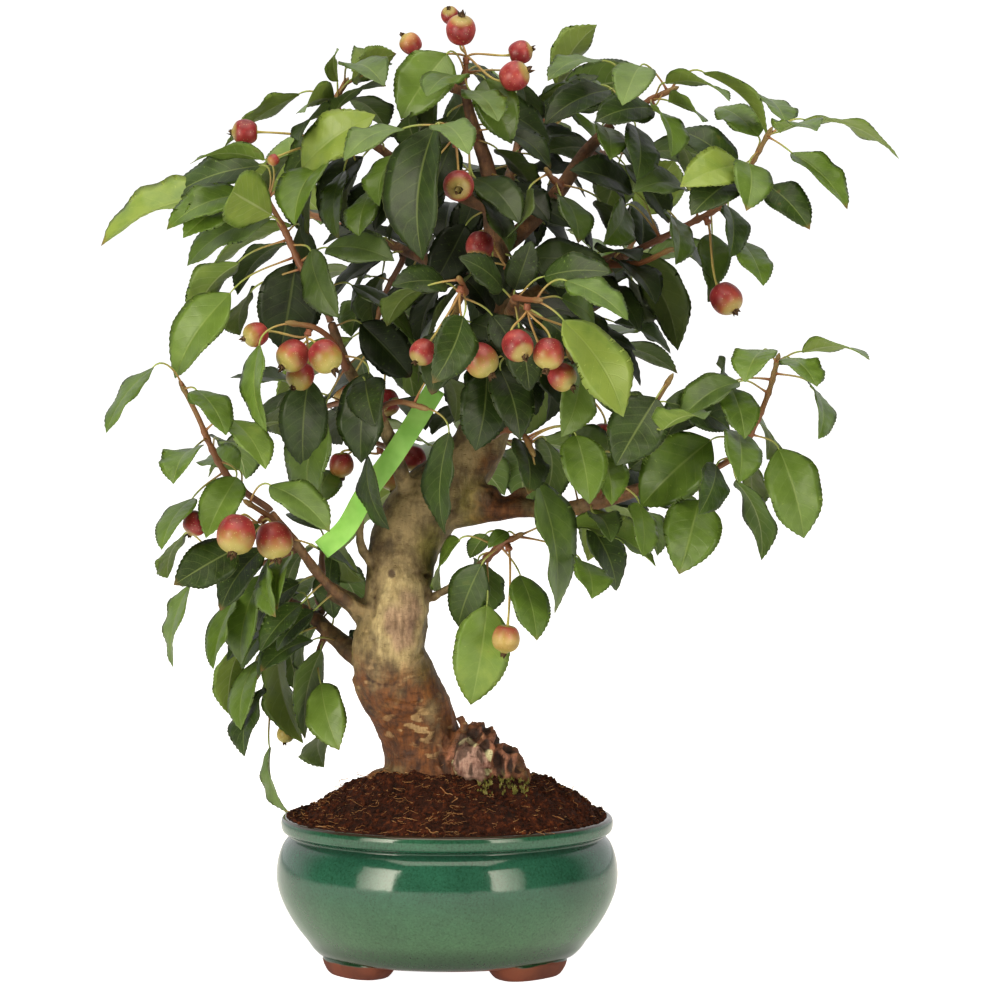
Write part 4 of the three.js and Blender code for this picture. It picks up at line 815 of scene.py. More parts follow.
squashed = points * np.array([1, 1, 2.4])
upright = points * np.array([1, 1, 0.5])
ragged = noise_at(points, 4.5, 12)
folds = folded_at(upright, 9, 3)
fine_folds = folded_at(upright, 4.2, 4)
relief = 0.7 * noise_at(squashed, 20, 1) + 0.4 * noise_at(squashed, 8, 2) + 0.22 * ragged
relief += burl_share * (3.0 * folds + 1.6 * fine_folds - 1.6)
relief += wound_share * (1.5 * folded_at(points, 7, 5) - 0.6)
far_out = (np.hypot(points[:, 0], points[:, 1]) - 70) / 40
thin = np.clip(np.clip((height - 330) / 120, 0, 1) + np.clip(far_out, 0, 1), 0, 1)
relief *= 1 - 0.6 * thin * (1 - burl_share)

# Painted shade: the hollows of the wound and of the burl's folds are darkened.
dark = wound_share * np.clip(0.5 - 0.7 * folded_at(points, 7, 5), 0, 1)
dark = np.maximum(dark, burl_share * np.clip(0.3 - 1.0 * folds - 0.6 * fine_folds, 0, 1))
for knot_x, knot_y, knot_depth, radius in KNOTS:
    centre = np.array(on_elevation(knot_x, knot_y, knot_depth))
    away = np.hypot(points[:, 0] - centre[0], points[:, 2] - centre[2]) / radius * (1 + 0.25 * ragged)
    facing = points[:, 1] < centre[1] + 14
    relief += facing * (0.5 * np.exp(-((away - 1.3) / 0.3) ** 2) - 0.9 * np.exp(-(away / 0.75) ** 2))
    dark = np.maximum(dark, facing * np.exp(-(away / 0.95) ** 4))
for start, middle, end, depth, half, darkness in CREASES:
    curve = [np.array(on_elevation(*p, depth)) for p in (start, middle, end)]
    best = np.full(len(points), 1e9)
    for i in range(25):
        t = i / 24
        at = curve[0] * (1 - t) ** 2 + curve[1] * 2 * t * (1 - t) + curve[2] * t * t
        best = np.minimum(best, np.hypot(points[:, 0] - at[0], points[:, 2] - at[2]))
    facing = points[:, 1] < 4
    best = np.abs(best + 0.9 * half * ragged)
    relief -= facing * 1.1 * np.exp(-(best / half) ** 2)
    relief += facing * 0.5 * np.exp(-((best - 2.4 * half) / (1.2 * half)) ** 2)
    # Painted shade: the crease is darkened along its groove.
    line_dark = np.exp(-(best / (0.85 * half)) ** 2) * np.clip(0.8 + 1.4 * ragged, 0, 1)
    dark = np.maximum(dark, facing * darkness * line_dark)


def oval(centre, half, seed, wander):
    """0 at the middle of an oval on the front of the trunk, 1 at its wandering edge."""
    across = (points[:, 0] - centre[0]) / half[0]
    upward = (points[:, 2] - centre[2]) / half[1]
    return np.hypot(across, upward) + wander * noise_at(points, 8, seed)


callus = oval(on_elevation(*CALLUS["at"]), CALLUS["half"], 14, 0.12)
callus_share = front * np.clip((1.05 - callus) / 0.18, 0, 1)
relief += 1.6 * callus_share
callus_edge = front * np.exp(-((callus - 1.1) / 0.06) ** 2)
dark = np.maximum(dark, 0.45 * callus_edge * np.clip(0.6 + 1.5 * ragged, 0, 1))
points += normals * relief[:, None]
sawn_centre = np.array(on_elevation(*SAWN["at"]))
proud = (points - sawn_centre) @ np.array(SAWN["facing"])
sawn = oval(sawn_centre, SAWN["half"], 15, 0.35)
on_face = front * (points[:, 1] < sawn_centre[1] + 12)
inside = on_face * np.clip((1 - sawn) / 0.2, 0, 1)
points -= (0.85 * proud * inside)[:, None] * np.array(SAWN["facing"])
bark_mesh.vertices.foreach_set("co", (points * MM + np.array(POT_AXIS)).ravel())
bark_mesh.update()

# %% [markdown]
# Each share runs from 0 to 1 over the skin. Rust covers the foot, the burl and the crotch of the
# low limb, algae lie on the shaded side, and pink new bark shows where the callus has closed.

# %% The bark's shares of colour
# Single spots: the share, its most, the place as x, y and depth, and the radius in mm.
SPOTS = [("rust", 1.0, (505, 508, -10), 34), ("rust", 0.9, (500, 470, -10), 26),
         ("rust", 0.9, (386, 697, -28), 20), ("olive", 0.9, (438, 545, -18), 26),
         ("olive", 0.8, (428, 682, -24), 20), ("olive", 1.0, (350, 655, -8), 16)]

rust = np.clip((206 - height) / 42, 0, 1) * np.clip(0.84 + 0.8 * noise_at(points, 16, 7), 0, 1)
rust = np.maximum(rust, np.clip((128 - height) / 14, 0, 1))
rust = np.maximum(rust, 0.9 * burl_share)
limb = np.maximum(thin, 0.7 * np.clip((np.hypot(points[:, 0], points[:, 1]) - 48) / 30, 0, 1))
scar = near(points, on_elevation(*SCAR), 19) * np.clip(0.8 + 1.4 * noise_at(upright, 5, 21), 0, 1)
dark = np.maximum(dark, 0.75 * scar)
olive = np.clip(0.4 + 1.2 * noise_at(points, 26, 9), 0, 1) * np.clip((height - 150) / 40, 0, 1)
olive *= np.clip((points[:, 0] + 15) / 22, 0, 1) * 0.8 + 0.25
pink = front * np.clip((0.86 - callus) / 0.3, 0, 1) * np.clip(0.75 + noise_at(upright, 9, 10), 0, 1)
cream = front * np.clip((1.3 - callus) / 0.3, 0, 1) * np.clip(0.8 + noise_at(upright, 12, 20), 0, 1)
peel = near(points, on_elevation(*PEEL), 24) * np.clip(4 * noise_at(squashed, 7, 16), 0, 1)
peel = np.maximum(peel, 0.5 * np.clip(4 * noise_at(squashed, 10, 17) - 1, 0, 1) * (height < 220))
rim = on_face * np.exp(-((sawn - 1.0) / 0.14) ** 2) * np.clip(0.5 + 1.2 * noise_at(points, 6, 18), 0, 1)
cut = inside
for stub_name in ("left_cut", "apex_cut"):
    before, stub_end = (on_elevation(*row[:3]) for row in STUBS[stub_name][-2:])
    stub_along = (stub_end - before).normalized()
    past = (points - np.array(stub_end)) @ np.array(stub_along)
    stub_near = np.linalg.norm(points - np.array(stub_end), axis=1) < STUBS[stub_name][-1][3]
    cut = np.maximum(cut, stub_near * np.clip((past + 1.2) / 0.8, 0, 1) * 0.99)
moss = near(points, on_elevation(*MOSS_FOOT), 20) * np.clip(0.4 + 1.6 * noise_at(upright, 5, 11), 0, 1)
# The fold share is painted shade in the hollows of the burl's folds.
shares = {"dark": dark, "rust": rust, "olive": olive, "cream": cream, "pink": pink, "cut": cut,
          "rim": rim, "moss": moss, "limb": limb, "peel": peel,
          "burl": burl_share * np.clip(0.8 + 1.2 * noise_at(upright, 8, 19), 0, 1),
          "fold": burl_share * np.clip(1.2 - 3.0 * folds, 0, 1)}
for share_name, most, spot, radius in SPOTS:
    patch = most * near(points, on_elevation(*spot), radius)
    shares[share_name] = np.maximum(shares[share_name], patch)
for share_name, share in shares.items():
    attribute = bark_mesh.attributes.new(share_name, "FLOAT", "POINT")
    attribute.data.foreach_set("value", np.clip(share, 0, 1).astype(np.float32))

# %% [markdown]
# Crabapple bark: a thin pale cork over living wood. It is matte and slightly waxy, grey-tan on
# the sunny face, olive where algae film it, rust brown low down and on young limbs. Specks and
# short dashes across the stem are lenticels, about 1 mm long, stretched sideways.

# %% Bark of crabapple
# The dark film is real on scars and knots, and painted shade in creases and hollows.
# Each film: its name, its most, how sharp its edge is, and its dark and light colours.
# The fold film is painted shade in the burl's hollows.
FILMS = [("olive", 0.8, 0.45, "#645c24", "#8f8544"), ("cream", 0.7, 0.4, "#a18c5e", "#cdba8a"),
         ("pink", 0.7, 0.45, "#6a473c", "#a5826f"), ("rust", 0.95, 0.42, "#3d1a0a", "#80481a"),
         ("limb", 0.85, 0.45, "#452616", "#7c4e32"), ("peel", 0.75, 0.2, "#a07c4c", "#cdb283"),
         ("burl", 0.9, 0.3, "#562a18", "#b37a60"), ("fold", 0.88, 0.3, "#160b07", "#30160e"),
         ("moss", 0.8, 0.2, "#5a6424", "#a09f52"), ("cut", 0.94, 0.14, "#7c4a3e", "#c4a292"),
         ("rim", 0.92, 0.2, "#b4ae7a", "#e6e0b4"), ("dark", 0.85, 0.35, "#1c0f0a", "#4a2a1a")]


def bark_material():
    material, node, place = new_material("crabapple_bark")
    tall = node("Mapping", place, Scale=(1.0, 1.0, 0.28))
    flat = node("Mapping", place, Scale=(1.0, 1.0, 3.2))
    rings = node("Mapping", place, Scale=(0.35, 0.35, 2.6))
    blotch = node("TexNoise", place, Scale=60, Detail=6, Roughness=0.62)
    fine = node("TexNoise", place, Scale=420, Detail=4)
    grain = node("TexNoise", place, Scale=130, Detail=5, Roughness=0.65)
    fibre = node("TexNoise", tall, Scale=330, Detail=5, Roughness=0.65)
    crack = node("TexNoise", rings, Scale=210, Detail=6, Roughness=0.7)
    lenticels = node("TexVoronoi", flat, Scale=170, Randomness=1.0)
    dash = node("MapRange", lenticels, 0.1, 0.22, 1.0, 0.0, **SMOOTH)
    cracked = node("MapRange", crack, 0.36, 0.43, 1.0, 0.0, **SMOOTH)
    base = node("ValToRGB", blotch,
               stops=((0.3, "#483a26"), (0.43, "#6a573a"), (0.56, "#917e58"), (0.72, "#7b6a4a")))
    weave = node("MULTIPLY_ADD", fibre, 0.4, node("MULTIPLY", grain, 0.6))
    shares = {}
    for name, most, soft, low, high in FILMS:
        shares[name] = node("Attribute", attribute_name=name, out="Fac")
        ragged_edge = node("MULTIPLY_ADD", grain, 0.5, shares[name])
        share = node("MapRange", ragged_edge, 0.75 - soft, 0.75 + soft, 0.0, most, **SMOOTH)
        film = node("ValToRGB", weave, stops=((0.38, low), (0.62, high)))
        base = node("Mix", share, base, film, **BLEND)
    tone = node("MapRange", node("ADD", blotch, fibre), 0.72, 1.28, 0.44, 1.26)
    base = node("Mix", 0.85, base, tone, **DARKEN)
    line = node("MULTIPLY", cracked, node("MULTIPLY_ADD", shares["rust"], 0.5, 0.12))
    base = node("Mix", node("MULTIPLY_ADD", dash, 0.3, line), base, "#4a2c18", **BLEND)
    rise = node("ADD", node("MULTIPLY_ADD", dash, 0.5, fine), fibre)
    bump = node("Bump", Height=node("SUBTRACT", rise, line), Strength=0.6, Distance=0.0008)
    rough = node("MapRange", fine, To_Min=0.5, To_Max=0.8)
    node("OutputMaterial",
        node("BsdfPrincipled", Base_Color=base, Roughness=rough, Normal=bump, IOR=1.45))
    return material


bark_mesh.materials.clear()
bark_mesh.materials.append(bark_material())
show("trunk_and_limbs", bark_mesh, "bark", "trunk")
print("trunk marked with", len(shares), "shares")

# %% [markdown]
# The pot is a thrown bonsai pot: a wide belly, a groove under a rolled rim, four pressed feet.
# Turning one smooth profile gives its body, as the wheel does. The profile runs up the outside,
# over the lip, down the inside and out through the drain hole, so the wall is closed.

# %% The pot
# Radius and height in mm, from the drain hole's edge round the outside and the lip to the floor.
POT_PROFILE = [(9, 8.5), (9, 7.2), (40, 7.2), (66, 7.6), (75.5, 9.2), (80.5, 13.2), (84, 18), (91, 27),
               (97, 37), (101.3, 47.5), (102.8, 57), (101.6, 68), (98.6, 76), (95.6, 79.8),
               (94.6, 81.2), (95.1, 82.4), (97.6, 83.3), (99.3, 84.9), (99.9, 87.6), (99.8, 90.2),
               (99.2, 91.7), (98, 92.6), (95.5, 92.8), (93.2, 92), (92, 89), (92.4, 80), (93, 52),
               (86, 30), (76, 19), (60, 15.2), (30, 14.3), (12, 14), (9, 12.8)]
POT_TURNS = 144
POT_STEPS = 4
FOOT_TURNS = (-150, -38, 40, 148)
# A foot's middle radius, half depth and half width in mm, and its outline at each height.
FOOT = {"out": 62.5, "deep": 15.5, "wide": 29.5, "square": 0.62, "turns": 56}
FOOT_PROFILE = [(0.0, 0.66), (0.3, 0.74), (1.2, 0.81), (3, 0.88), (5.5, 0.95), (8.6, 1.0), (11, 0.98)]


def turned(profile, turns):
    """Points of a profile of (radius, height) turned about the pot's axis."""
    return [(radius * c, radius * s, high) for radius, high in profile for _, c, s in circle(turns)]


def smooth_profile(rows, steps):
    """The rows of a closed profile with `steps` points on each smooth span between them."""
    flat = [Vector((r, h, 0)) for r, h in rows]
    line = smooth_line(flat, steps * (len(flat) - 1))
    return [(p.x, p.y) for p in line]


pot = Piece()
profile = smooth_profile(POT_PROFILE, POT_STEPS)
ring_count = len(profile)
pot_faces = []
for r in range(ring_count):
    low, high = r * POT_TURNS, (r + 1) % ring_count * POT_TURNS
    for k in range(POT_TURNS):
        onward = (k + 1) % POT_TURNS
        pot_faces.append((low + k, low + onward, high + onward, high + k))
pot.put(turned(profile, POT_TURNS), pot_faces)


def foot_points(middle):
    """Rings of a pressed foot: a rounded block that follows the turn of the pot's base."""
    points = []
    for high, share in FOOT_PROFILE:
        for _, *edge in circle(FOOT["turns"]):
            deep, wide = (math.copysign(abs(v) ** FOOT["square"], v) for v in edge)
            radius = FOOT["out"] + FOOT["deep"] * share * deep
            angle = middle + FOOT["wide"] / FOOT["out"] * share * wide
            points.append((radius * math.cos(angle), radius * math.sin(angle), high))
    for high in (FOOT_PROFILE[0][0], FOOT_PROFILE[-1][0]):
        points.append((FOOT["out"] * math.cos(middle), FOOT["out"] * math.sin(middle), high))
    return points


for foot_turn in FOOT_TURNS:
    pot.put(foot_points(math.radians(foot_turn)), ring_faces(len(FOOT_PROFILE), FOOT["turns"]))

# %% [markdown]
# The glaze is a thick glossy copper green over dark terracotta. It runs while it melts: it ends
# above the foot ring in an uneven line with a darker roll, and breaks to brown on the lip. Its
# colour is painted lighter and greener where the belly turns under, a painted reflection of the
# white table, and darker teal higher up. Fine pits and specks are less than a millimetre.

# %% Glaze and clay
GLAZE_EDGE = 0.0086
LIP_EDGE = 0.0916


def glaze_material():
    material, node, place = new_material("copper_green_glaze")
    high = node("SeparateXYZ", place, out="Z")
    run = node("TexNoise", place, Scale=34, Detail=3)
    cloud = node("TexNoise", place, Scale=22, Detail=5, Roughness=0.6)
    speck = node("TexNoise", place, Scale=760, Detail=3)
    mottle = node("TexNoise", place, Scale=620, Detail=3, Roughness=0.7)
    wave = node("TexNoise", place, Scale=75, Detail=2)
    above = node("SUBTRACT", high, node("MULTIPLY_ADD", run, 0.006, GLAZE_EDGE - 0.003))
    glazed = node("MapRange", above, -0.0002, 0.0006, **SMOOTH)
    roll = node("MapRange", above, 0.0095, 0.0165, 1.0, 0.0, **SMOOTH)
    over_lip = node("SUBTRACT", high, node("MULTIPLY_ADD", run, 0.0016, LIP_EDGE - 0.0008))
    lip = node("MapRange", over_lip, -0.0006, 0.0003, **SMOOTH)
    # Painted reflection: the height ramp makes the glaze lighter and greener low on the belly, where it
    # mirrors the white table, and darker teal higher up.
    green = node("ValToRGB", node("MapRange", high, 0.009, 0.092),
                stops=((0.0, "#28492e"), (0.12, "#3c6741"), (0.42, "#386447"), (0.6, "#2a5a46"),
                       (0.82, "#255543"), (0.87, "#1b4233"), (0.93, "#2f6049"), (1.0, "#27523d")))
    clouds = node("MULTIPLY_ADD", mottle, 0.9, cloud)
    cloudy = node("MapRange", clouds, 0.65, 1.25, 0.5, 1.32)
    green = node("Mix", 0.8, green, cloudy, **DARKEN)
    iron = node("MapRange", speck, 0.52, 0.68, To_Max=0.42, **SMOOTH)
    thick = node("MULTIPLY_ADD", roll, 0.5, iron, use_clamp=True)
    green = node("Mix", thick, green, "#12301a", **BLEND)
    clay = node("ValToRGB", cloud, stops=((0.35, "#5e2c1e"), (0.55, "#7d402b"), (0.7, "#8d4c34")))
    body = node("Mix", glazed, clay, green, **BLEND)
    whole = node("Mix", node("MULTIPLY", lip, 0.92), body, "#33211a", **BLEND)
    gloss = node("MapRange", glazed, To_Min=0.78, To_Max=0.11)
    bump = node("Bump", Height=node("MULTIPLY_ADD", speck, 0.12, wave), Strength=0.16,
               Distance=0.001)
    node("OutputMaterial",
        node("BsdfPrincipled", Base_Color=whole, Roughness=gloss, Normal=bump, IOR=1.52))
    return material


show("pot_body", pot, "glazed_pot", "pot", finishes=[glaze_material()])
print("pot", len(pot.faces), "faces")

# %% [markdown]
# The soil is a mound of dark red-brown peat. It is a fine skin over the mound's rule with lumps
# of three sizes; the crumbs and the pale root fibres that lie on it are scattered by one small
# node group, which picks from a few crumbs and fibres and then makes them real mesh.

# %% The mound
MOUND = {"edge": 87, "height": 38, "reach": 95, "offset": 4, "round": 0.78}
LUMPS = {"broad": 1.6, "fine": 0.9}
SOIL_RADIUS = 96
# The soil is washed down a little in front of the burl.
BURL_DIP = {"at": (22, -42), "reach": 20, "depth": 4.5}
# It is heaped over the root at the trunk's left.
ROOT_HEAP = {"at": (-46, -26), "reach": 14, "height": 5}
EDGE_FALL = {"from": 88, "height": 92.9}
EDGE_LOW = 91.4
SOIL_SIDE = [(0, 14.8), (70.5, 17.2), (84.6, 30.6), (91.4, 52), (90.8, 72), (91, 91.5), (95.4, 92.3)]
MOUND_RINGS = 62
MOUND_TURNS = 200


def mound_height(x, y):
    """The height of the soil in mm at a place on the pot."""
    away = min(1, math.hypot(x - MOUND["offset"], y) / MOUND["reach"])
    lumps = LUMPS["broad"] * math.sin(0.11 * x + 1.3) * math.cos(0.13 * y)
    lumps += LUMPS["fine"] * math.sin(0.31 * x + 0.24 * y)
    rise = MOUND["height"] * (1 - away * away) ** MOUND["round"]
    return MOUND["edge"] + rise + lumps * (1 - away ** 6)


def crumbled(x, y):
    """The mound with its fine crumbs, settling on the pot's lip at its edge."""
    here = Vector((x, y, 0))
    rise = 1.5 * noise.noise(here / 9) + 1.3 * noise.noise(here / 4.2) + 0.8 * noise.noise(here / 2.1)
    beside = math.hypot(x - BURL_DIP["at"][0], y - BURL_DIP["at"][1]) / BURL_DIP["reach"]
    rise -= BURL_DIP["depth"] * math.exp(-beside * beside) + 0.8
    beside = math.hypot(x - ROOT_HEAP["at"][0], y - ROOT_HEAP["at"][1]) / ROOT_HEAP["reach"]
    rise += ROOT_HEAP["height"] * math.exp(-beside * beside)
    edge = ease(math.hypot(x, y), EDGE_FALL["from"], SOIL_RADIUS)
    high = max(mound_height(x, y) + rise - 0.4, EDGE_LOW + 0.8 * noise.noise(here / 4.2))
    return high + (EDGE_FALL["height"] - high + 0.5 * (1 + noise.noise(here / 3))) * edge


soil_points = []
for ring in range(MOUND_RINGS):
    radius = SOIL_RADIUS * ((ring + 1) / MOUND_RINGS) ** 0.8
    soil_points += [(radius * c, radius * s, crumbled(radius * c, radius * s))
                    for _, c, s in circle(MOUND_TURNS)]
soil_points += turned(SOIL_SIDE[:0:-1], MOUND_TURNS)
soil_points += [(0, 0, crumbled(0, 0)), (0, 0, SOIL_SIDE[0][1])]
soil = Piece()
soil.put(soil_points, [face[::-1] for face in ring_faces(MOUND_RINGS + len(SOIL_SIDE) - 1, MOUND_TURNS)])


def soil_material(name, dark, middle, light):
    """A dry crumbly matter in three colours."""
    material, node, place = new_material(name)
    crumbs = node("TexNoise", place, Scale=260, Detail=6, Roughness=0.7)
    patch = node("TexNoise", place, Scale=45, Detail=3)
    base = node("ValToRGB", crumbs, stops=((0.32, dark), (0.52, middle), (0.7, light)))
    tone = node("MapRange", patch, 0.3, 0.7, 0.6, 1.3)
    base = node("Mix", 0.8, base, tone, **DARKEN)
    bump = node("Bump", Height=crumbs, Strength=0.7, Distance=0.0012)
    node("OutputMaterial", node("BsdfPrincipled", Base_Color=base, Normal=bump,
                                    Roughness=0.95, Specular_IOR_Level=0.25))
    return material


peat = soil_material("peat", "#100602", "#361507", "#683315")
show("soil_mound", soil, "soil", "soil", finishes=[peat])
print("mound", len(soil.faces), "faces")

# %% [markdown]
# A crumb is a dented ball under 2 mm, a fibre a thin root that wanders for some 8 mm, and a tuft
# of moss a few short blades that lean out from one foot.

# %% Crumbs, fibres and moss tufts to scatter
SCATTER_RIM = 95
CRUMB_SHAPES = 5
FIBRE_SHAPES = 7
TUFT_SHAPES = 3


# Collections outside the scene that keep the shapes to be scattered.
crumb_shelf, fibre_shelf, tuft_shelf = map(bpy.data.collections.new, ("crumbs", "fibres", "tufts"))


def keep(collection, name, piece, material):
    """Keeps a small shape about the origin in a collection."""
    made = bpy.data.meshes.new(name)
    made.from_pydata((np.concatenate(piece.points) * MM).tolist(), [], piece.faces)
    made.materials.append(material)
    made.polygons.foreach_set("use_smooth", [True] * len(piece.faces))
    collection.objects.link(bpy.data.objects.new(name, made))


for i in range(CRUMB_SHAPES):
    draw = draws_from(40 + i)
    crumb = Piece()
    ball(crumb, Vector((0, 0, 0)), [0.8 + 0.5 * draw() for _ in range(3)], 5, 3)
    bent = [Vector(p) * (1 + 0.5 * noise.noise(Vector(p) * 1.3 + Vector((i, 0, 0))))
            for p in crumb.points[0].tolist()]
    crumb.points = [np.array([tuple(p) for p in bent])]
    keep(crumb_shelf, f"crumb_shape_{i}", crumb, peat)

fibre_colour = soil_material("root_fibre", "#6a3c20", "#a87648", "#d8b080")
for i in range(FIBRE_SHAPES):
    draw = draws_from(60 + i)
    heading = 0.0
    line = [Vector((-4, 0, 0.3))]
    for _ in range(12):
        heading += 2.1 * (draw() - 0.5)
        step = Vector((math.cos(heading), math.sin(heading), 0.7 * (draw() - 0.42)))
        line.append(line[-1] + step * (0.4 + 0.6 * draw()))
    fibre = Piece()
    tube(fibre, line, [0.09 + 0.13 * draw() ** 2] * len(line), 4)
    keep(fibre_shelf, f"fibre_shape_{i}", fibre, fibre_colour)

moss_colour = soil_material("moss", "#55541f", "#95934a", "#d0c78a")
for i in range(TUFT_SHAPES):
    draw = draws_from(80 + i)
    tuft = Piece()
    for _ in range(9):
        turn = 2 * math.pi * draw()
        lean = Vector((math.cos(turn), math.sin(turn), 0)) * (0.3 + 1.2 * draw())
        tall = 1.2 + 2.4 * draw() ** 2
        tube(tuft, [lean * 0.2, lean * 0.6 + UP * tall * 0.6, lean + UP * tall], [0.3, 0.24, 0.08], 3)
    keep(tuft_shelf, f"tuft_shape_{i}", tuft, moss_colour)

# %% [markdown]
# The node group sets points on a ground, puts a turned and scaled shape on each, and makes them
# real mesh with one finish, so the same few shapes serve every layer on the soil.

# %% One node group that scatters shapes over a face
SOCKETS = {}


def socket(tree, name, kind, value=None):
    """Adds a named input to the group and remembers its identifier."""
    made = tree.interface.new_socket(name, in_out="INPUT", socket_type=kind)
    if value is not None:
        made.default_value = value
    SOCKETS[name] = made.identifier


scatter = bpy.data.node_groups.new("scatter_shapes", "GeometryNodeTree")
scatter.interface.new_socket("Geometry", in_out="INPUT", socket_type="NodeSocketGeometry")
scatter.interface.new_socket("Geometry", in_out="OUTPUT", socket_type="NodeSocketGeometry")
socket(scatter, "Shapes", "NodeSocketCollection")
socket(scatter, "Finish", "NodeSocketMaterial")
socket(scatter, "Density", "NodeSocketFloat", 1000.0)
socket(scatter, "Smallest", "NodeSocketFloat", 0.5)
socket(scatter, "Largest", "NodeSocketFloat", 1.0)
socket(scatter, "Lean", "NodeSocketFloat", 3.1)
socket(scatter, "Seed", "NodeSocketInt", 1)
given = add(scatter, "NodeGroupInput").node.outputs
seeds = add(scatter, "GeometryNodeDistributePointsOnFaces", given["Geometry"], Density=given["Density"],
            Seed=given["Seed"])
shapes = add(scatter, "GeometryNodeCollectionInfo", given["Shapes"], Separate_Children=True,
             Reset_Children=True)
size = add(scatter, "FunctionNodeRandomValue", given["Smallest"], given["Largest"], data_type="FLOAT")
lean_back = add(scatter, "MULTIPLY", given["Lean"], -1.0)
turn_low = add(scatter, "CombineXYZ", lean_back, lean_back, -math.pi)
turn_high = add(scatter, "CombineXYZ", given["Lean"], given["Lean"], math.pi)
turn = add(scatter, "FunctionNodeRandomValue", turn_low, turn_high, Seed=given["Seed"],
           data_type="FLOAT_VECTOR")
copies = add(scatter, "GeometryNodeInstanceOnPoints", seeds, Instance=shapes, Rotation=turn, Scale=size,
             Pick_Instance=True)
real = add(scatter, "GeometryNodeRealizeInstances", copies)
add(scatter, "NodeGroupOutput", add(scatter, "GeometryNodeSetMaterial", real, Material=given["Finish"]))


def scattered(name, ground, shapes, finish, density, sizes, lean, seed):
    """A real mesh of shapes scattered over a ground mesh; density is a count per square metre."""
    bed = placed("bed", ground)
    nodes = bed.modifiers.new("scatter", "NODES")
    nodes.node_group = scatter
    values = {"Shapes": shapes, "Finish": finish, "Density": density, "Smallest": sizes[0],
              "Largest": sizes[1], "Lean": lean, "Seed": seed}
    for socket_name, value in values.items():
        nodes[SOCKETS[socket_name]] = value
    bpy.context.view_layer.update()
    made = bpy.data.meshes.new_from_object(bed.evaluated_get(bpy.context.evaluated_depsgraph_get()))
    made.name = name
    bpy.data.objects.remove(bed)
    print(name, len(made.polygons), "faces")
    return made


def ground_patch(name, inside):
    """The upper faces of the mound whose middles pass a test of x, y in mm."""
    patch = bpy.data.meshes.new(name)
    high_points = [tuple(p) for p in np.array(soil_points)[:MOUND_RINGS * MOUND_TURNS]]
    faces = []
    for r in range(MOUND_RINGS - 1):
        for k in range(MOUND_TURNS):
            a, b = r * MOUND_TURNS + k, r * MOUND_TURNS + (k + 1) % MOUND_TURNS
            x, y = high_points[a][0], high_points[a][1]
            if math.hypot(x, y) < SCATTER_RIM and inside(x, y):
                faces.append((a, a + MOUND_TURNS, b + MOUND_TURNS, b))
    patch.from_pydata((np.array(high_points) * MM + np.array(POT_AXIS)).tolist(), [], faces)
    return patch


open_soil = ground_patch("open_soil", lambda x, y: math.hypot(x + 12, y) > 18)
front_left_soil = ground_patch("front_left_soil", lambda x, y: x < 10 and y < 30)
burl_foot = ground_patch("burl_foot", lambda x, y: 18 < x < 48 and -44 < y < -22)
# Each layer: its name, ground, shapes and finish, then count to the square metre, sizes, lean, seed.
for layer, *settings in (
        ("soil_crumbs", open_soil, crumb_shelf, peat, 120000.0, (0.45, 1.7), 3.1, 3),
        ("soil_fibres", open_soil, fibre_shelf, fibre_colour, 15000.0, (0.5, 1.3), 0.5, 5),
        ("soil_fibres_left", front_left_soil, fibre_shelf, fibre_colour, 19000.0, (0.5, 1.4), 0.5, 7),
        ("moss_tufts", burl_foot, tuft_shelf, moss_colour, 80000.0, (0.5, 1.2), 0.35, 9)):
    show(layer, scattered(layer, *settings), "soil")

# %% [markdown]
# A leaf is found before it is drawn. The solids were grown by one rule: a leaf is tried at a few
# depths, rolls and sizes until it touches no other. The same tries are made here, and the one
# whose corners are there in the solid is the one that was kept. So each fine leaf lies in its own
# solid leaf, and the search for free room isn't made again.

# %% Finding each leaf in its solid
PETIOLE = 16
LEAF_LENGTH = 50
LEAN_SHARE = 0.86
FOLDS_FROM = 56
HALF_THICK = 0.4
FOUND_WITHIN = 0.04
SHRINKS = (1, 0.85, 0.7)
SHIFTS = (0, -6, 6, -12, 12, -18, 18, -25, 25, -32, 32, -40, 40)
ROLLS = (0, 0.35, -0.35, 0.7, -0.7)
FULL_BLADE = ((0.22, 0.78, 0.5), (0.5, 1, -0.6), (0.8, 0.62, 0.5))
SIMPLE_BLADE = ((0.3, 0.96, 0.4), (0.68, 0.84, -0.5))
# How far a blade's face turns from straight up to the outside of the tree.
TURNED_OUT = 0.6
# The turn from one leaf to the next along a stem, which is the golden angle.
GOLDEN_TURN = 2.4


def corners_of(node):
    """A search tree over the corners of a solid, in mm from the pot's axis."""
    corners = to_mm(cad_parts[node].data)
    tree = kdtree.KDTree(len(corners))
    for i, corner in enumerate(corners):
        tree.insert(corner, i)
    tree.balance()
    return tree


def outward(point):
    return Vector((point.x, point.y, 0)).normalized()


def square_to(vector, axis):
    """The part of a vector square to an axis, at unit length."""
    return (vector - axis * vector.dot(axis)).normalized()


def turned_normal(axis, seen, width, want):
    """The face normal nearest to `want` whose blade shows `seen` of its width from the front."""
    facing = square_to(FRONT, axis)
    beside = axis.cross(facing)
    c = min(1, max(0.12, seen / width))
    s = math.sqrt(1 - c * c)
    options = [facing * a + beside * b for a, b in ((c, s), (c, -s), (-c, s), (-c, -s))]
    return max(options, key=lambda normal: normal.dot(want))


